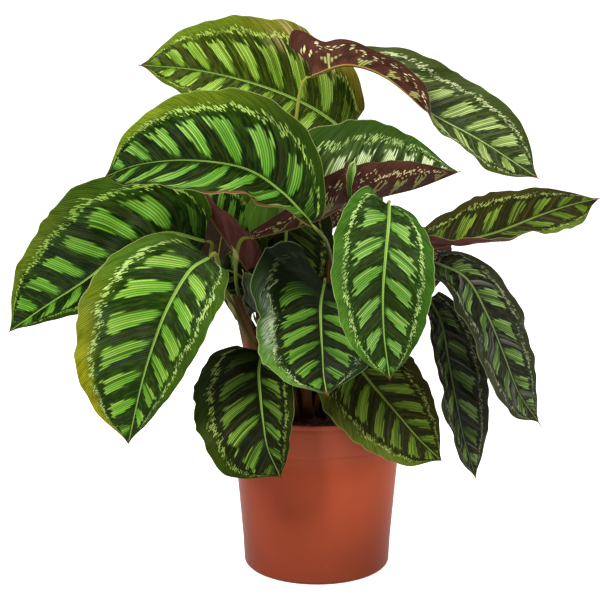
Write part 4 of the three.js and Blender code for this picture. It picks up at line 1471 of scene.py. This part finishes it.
@dataclass
class Soil:
    """The potting mix, with crumbs and grit on it, and the mound that the stalks rise from."""

    radius: float = 89.6
    floor_radius: float = 76.6
    floor: float = 6.2
    top: float = 165.0
    edge_drop: float = 4.0
    rings: int = 90
    wall_rings: int = 12
    sides: int = 220
    mound_rows: int = 40
    mound_sides: int = 72
    mound_centre: Point = (-12.0, 0.0, 165.0)
    mound_radii: Point = (33.0, 29.0, 13.0)
    pole: float = 0.02
    cube: Sequence[tuple[int, int, int, int]] = ((0, 2, 3, 1), (4, 5, 7, 6), (0, 1, 5, 4), (2, 6, 7, 3),
                                                 (0, 4, 6, 2), (1, 3, 7, 5))

    @staticmethod
    def waves(rng: np.random.Generator, x: Array, y: Array, count: int, size: float) -> Array:
        """Uneven ground from sines of random direction.

        Args:
            rng: What they are drawn from.
            x: The points' places to the right, in millimetres.
            y: Their places to the back.
            count: How many sines.
            size: About how long each is, in millimetres.

        Returns:
            The height at each point, from -1 to 1.
        """
        height = np.zeros_like(x)
        for _ in range(count):
            angle, length = rng.uniform(0, 2 * np.pi), size * rng.uniform(0.6, 1.6)
            across = x * np.cos(angle) + y * np.sin(angle)
            height += wave(across / length + rng.uniform(0, 1))
        return height / count

    def ground(self, x: Array, y: Array) -> Array:
        """The soil's surface.

        Args:
            x: The points' places to the right, in millimetres.
            y: Their places to the back.

        Returns:
            The height at each point, in millimetres.
        """
        rng = np.random.default_rng(7)
        away = np.hypot(x, y) / self.radius
        heap = self.top + 2.2 * (1 - away ** 2) - 1.5 * smoothstep(0.93, 1.0, away)
        return heap + 3.4 * self.waves(rng, x, y, 9, 38) + 2.4 * self.waves(rng, x, y, 14, 9)

    def build(self) -> None:
        """Makes the soil, its mound and its crumbs."""
        self.build_bed()
        self.build_mound()
        for bits in BITS:
            self.build_bits(bits)

    def build_bed(self) -> None:
        """Makes the body of the soil."""
        top = turned(np.linspace(0.01, 1, self.rings) * self.radius, np.zeros(self.rings), self.sides)
        top[..., 2] = self.ground(top[..., 0], top[..., 1])
        down = np.linspace(1, 0, self.wall_rings)[1:]
        radius = self.floor_radius + (self.radius - self.floor_radius) * down
        wall = turned(radius, self.floor + (self.top - self.edge_drop - self.floor) * down, self.sides)
        maker = MeshMaker("potting_mix", "potting_soil")
        middles = [(0, 0, top[0, :, 2].mean()), (0, 0, self.floor)]
        maker.add_tube(np.concatenate([top, wall]), middles, flip=True)
        maker.build([EarthFinish("potting_mix").build()], ["soil"])

    def build_mound(self) -> None:
        """Makes the clump of short rhizomes at the middle."""
        rng = np.random.default_rng(11)
        rows, sides = self.mound_rows, self.mound_sides
        down = np.linspace(self.pole, np.pi - self.pole, rows)
        ball = turned(np.sin(down), np.cos(down), sides)
        points = ball * np.array(self.mound_radii) + np.array(self.mound_centre)
        lumps = 2.2 * self.waves(rng, points[..., 0], points[..., 1], 10, 11)
        points[..., 2] += lumps * np.sin(down)[:, None]
        maker = MeshMaker("rhizomes", "rhizome")
        maker.add(points, grid_faces(rows, sides, closed=True, flip=True))
        numbers = np.arange(rows * sides)
        maker.add_faces(np.stack([numbers[:sides], numbers[:-sides - 1:-1]]))
        finish = EarthFinish("rhizome_skin", "2c1a13", "623c28", 140)
        maker.build([finish.build()], ["rhizome_clump"])

    def build_bits(self, bits: Bits) -> None:
        """Scatters the loose bits of one kind, each a worn, uneven cube.

        Args:
            bits: The kind.
        """
        corners = np.array(list(product((1, -1), repeat=3)), float)
        rng = np.random.default_rng(bits.seed)
        maker = MeshMaker(bits.name, "potting_soil")
        for _ in range(bits.count):
            away = (self.radius - 4) * math.sqrt(rng.uniform(0.02, 1))
            angle = rng.uniform(0, 2 * np.pi)
            x, y = away * math.cos(angle), away * math.sin(angle)
            shape = corners * rng.uniform(0.5, 1.3, (8, 3)) * bits.size * rng.uniform(0.5, 1.3, 3)
            spin = np.array(Matrix.Rotation(rng.uniform(0, 6.3), 3, Vector(rng.normal(size=3))))
            height = float(self.ground(np.array(x), np.array(y))) + 0.3 * bits.size
            maker.add(shape @ spin.T + (x, y, height), self.cube)
        smooth = maker.build([bits.finish.build()]).modifiers.new("worn", "SUBSURF")
        smooth.levels = smooth.render_levels = 1


# ---- Studio ----
@dataclass
class Studio:
    """The camera, a pale floor and soft lights, in metres and degrees. The lights are given by place,
    size and power.
    """

    eye: Point = (-0.0184, -2.0, 0.768)
    tilt_down: float = 13.27
    focal_px: float = 1908.0
    image_px: float = 600.0
    floor_size: float = 60.0
    aim: Point = (0.0, 0.0, 0.3)
    sky: float = 0.56
    lights: Sequence[tuple[str, Point, float, float]] = (
        ("key", (-1.2, -1.7, 2.1), 0.8, 94), ("fill", (1.9, -1.5, 1.2), 1.4, 24),
        ("top", (0.2, 0.5, 2.4), 1.4, 30))

    def build(self) -> None:
        """Makes the camera, the floor, the lights and the sky."""
        lens = bpy.data.cameras.new("camera")
        lens.lens = self.focal_px * lens.sensor_width / self.image_px
        lens.clip_end = 200
        camera = add_object("camera", lens, self.eye)
        camera.rotation_euler = (math.radians(90 - self.tilt_down), 0, 0)
        bpy.context.scene.camera = camera

        half = self.floor_size / 2
        mesh = bpy.data.meshes.new("floor")
        corners = [(-half, -half, 0), (half, -half, 0), (half, half, 0), (-half, half, 0)]
        mesh.from_pydata(corners, [], [(0, 1, 2, 3)])
        mesh.materials.append(PlainFinish("studio_floor").build())
        floor = add_object("floor", mesh)
        floor.visible_diffuse = False

        for name, place, size, power in self.lights:
            lamp = bpy.data.lights.new(name, "AREA")
            lamp.size, lamp.energy = size, power
            way = Vector(self.aim) - Vector(place)
            add_object(name, lamp, place).rotation_euler = way.to_track_quat("-Z", "Y").to_euler()

        world = bpy.data.worlds.new("studio")
        world.use_nodes = True
        sky = world.node_tree.nodes["Background"]
        sky.inputs[0].default_value = (1, 1, 1, 1)
        sky.inputs[1].default_value = self.sky
        bpy.context.scene.world = world
        bpy.context.scene.view_settings.view_transform = "Standard"


def main() -> None:
    """Builds the studio and the plant."""
    logging.basicConfig(level=logging.INFO, format="%(name)s %(message)s")
    for group in (Studio(), Pot(), Soil(), Foliage(), Scales()):
        group.build()
        LOG.info("%s is made", type(group).__name__)


if __name__ == "__main__":
    main()
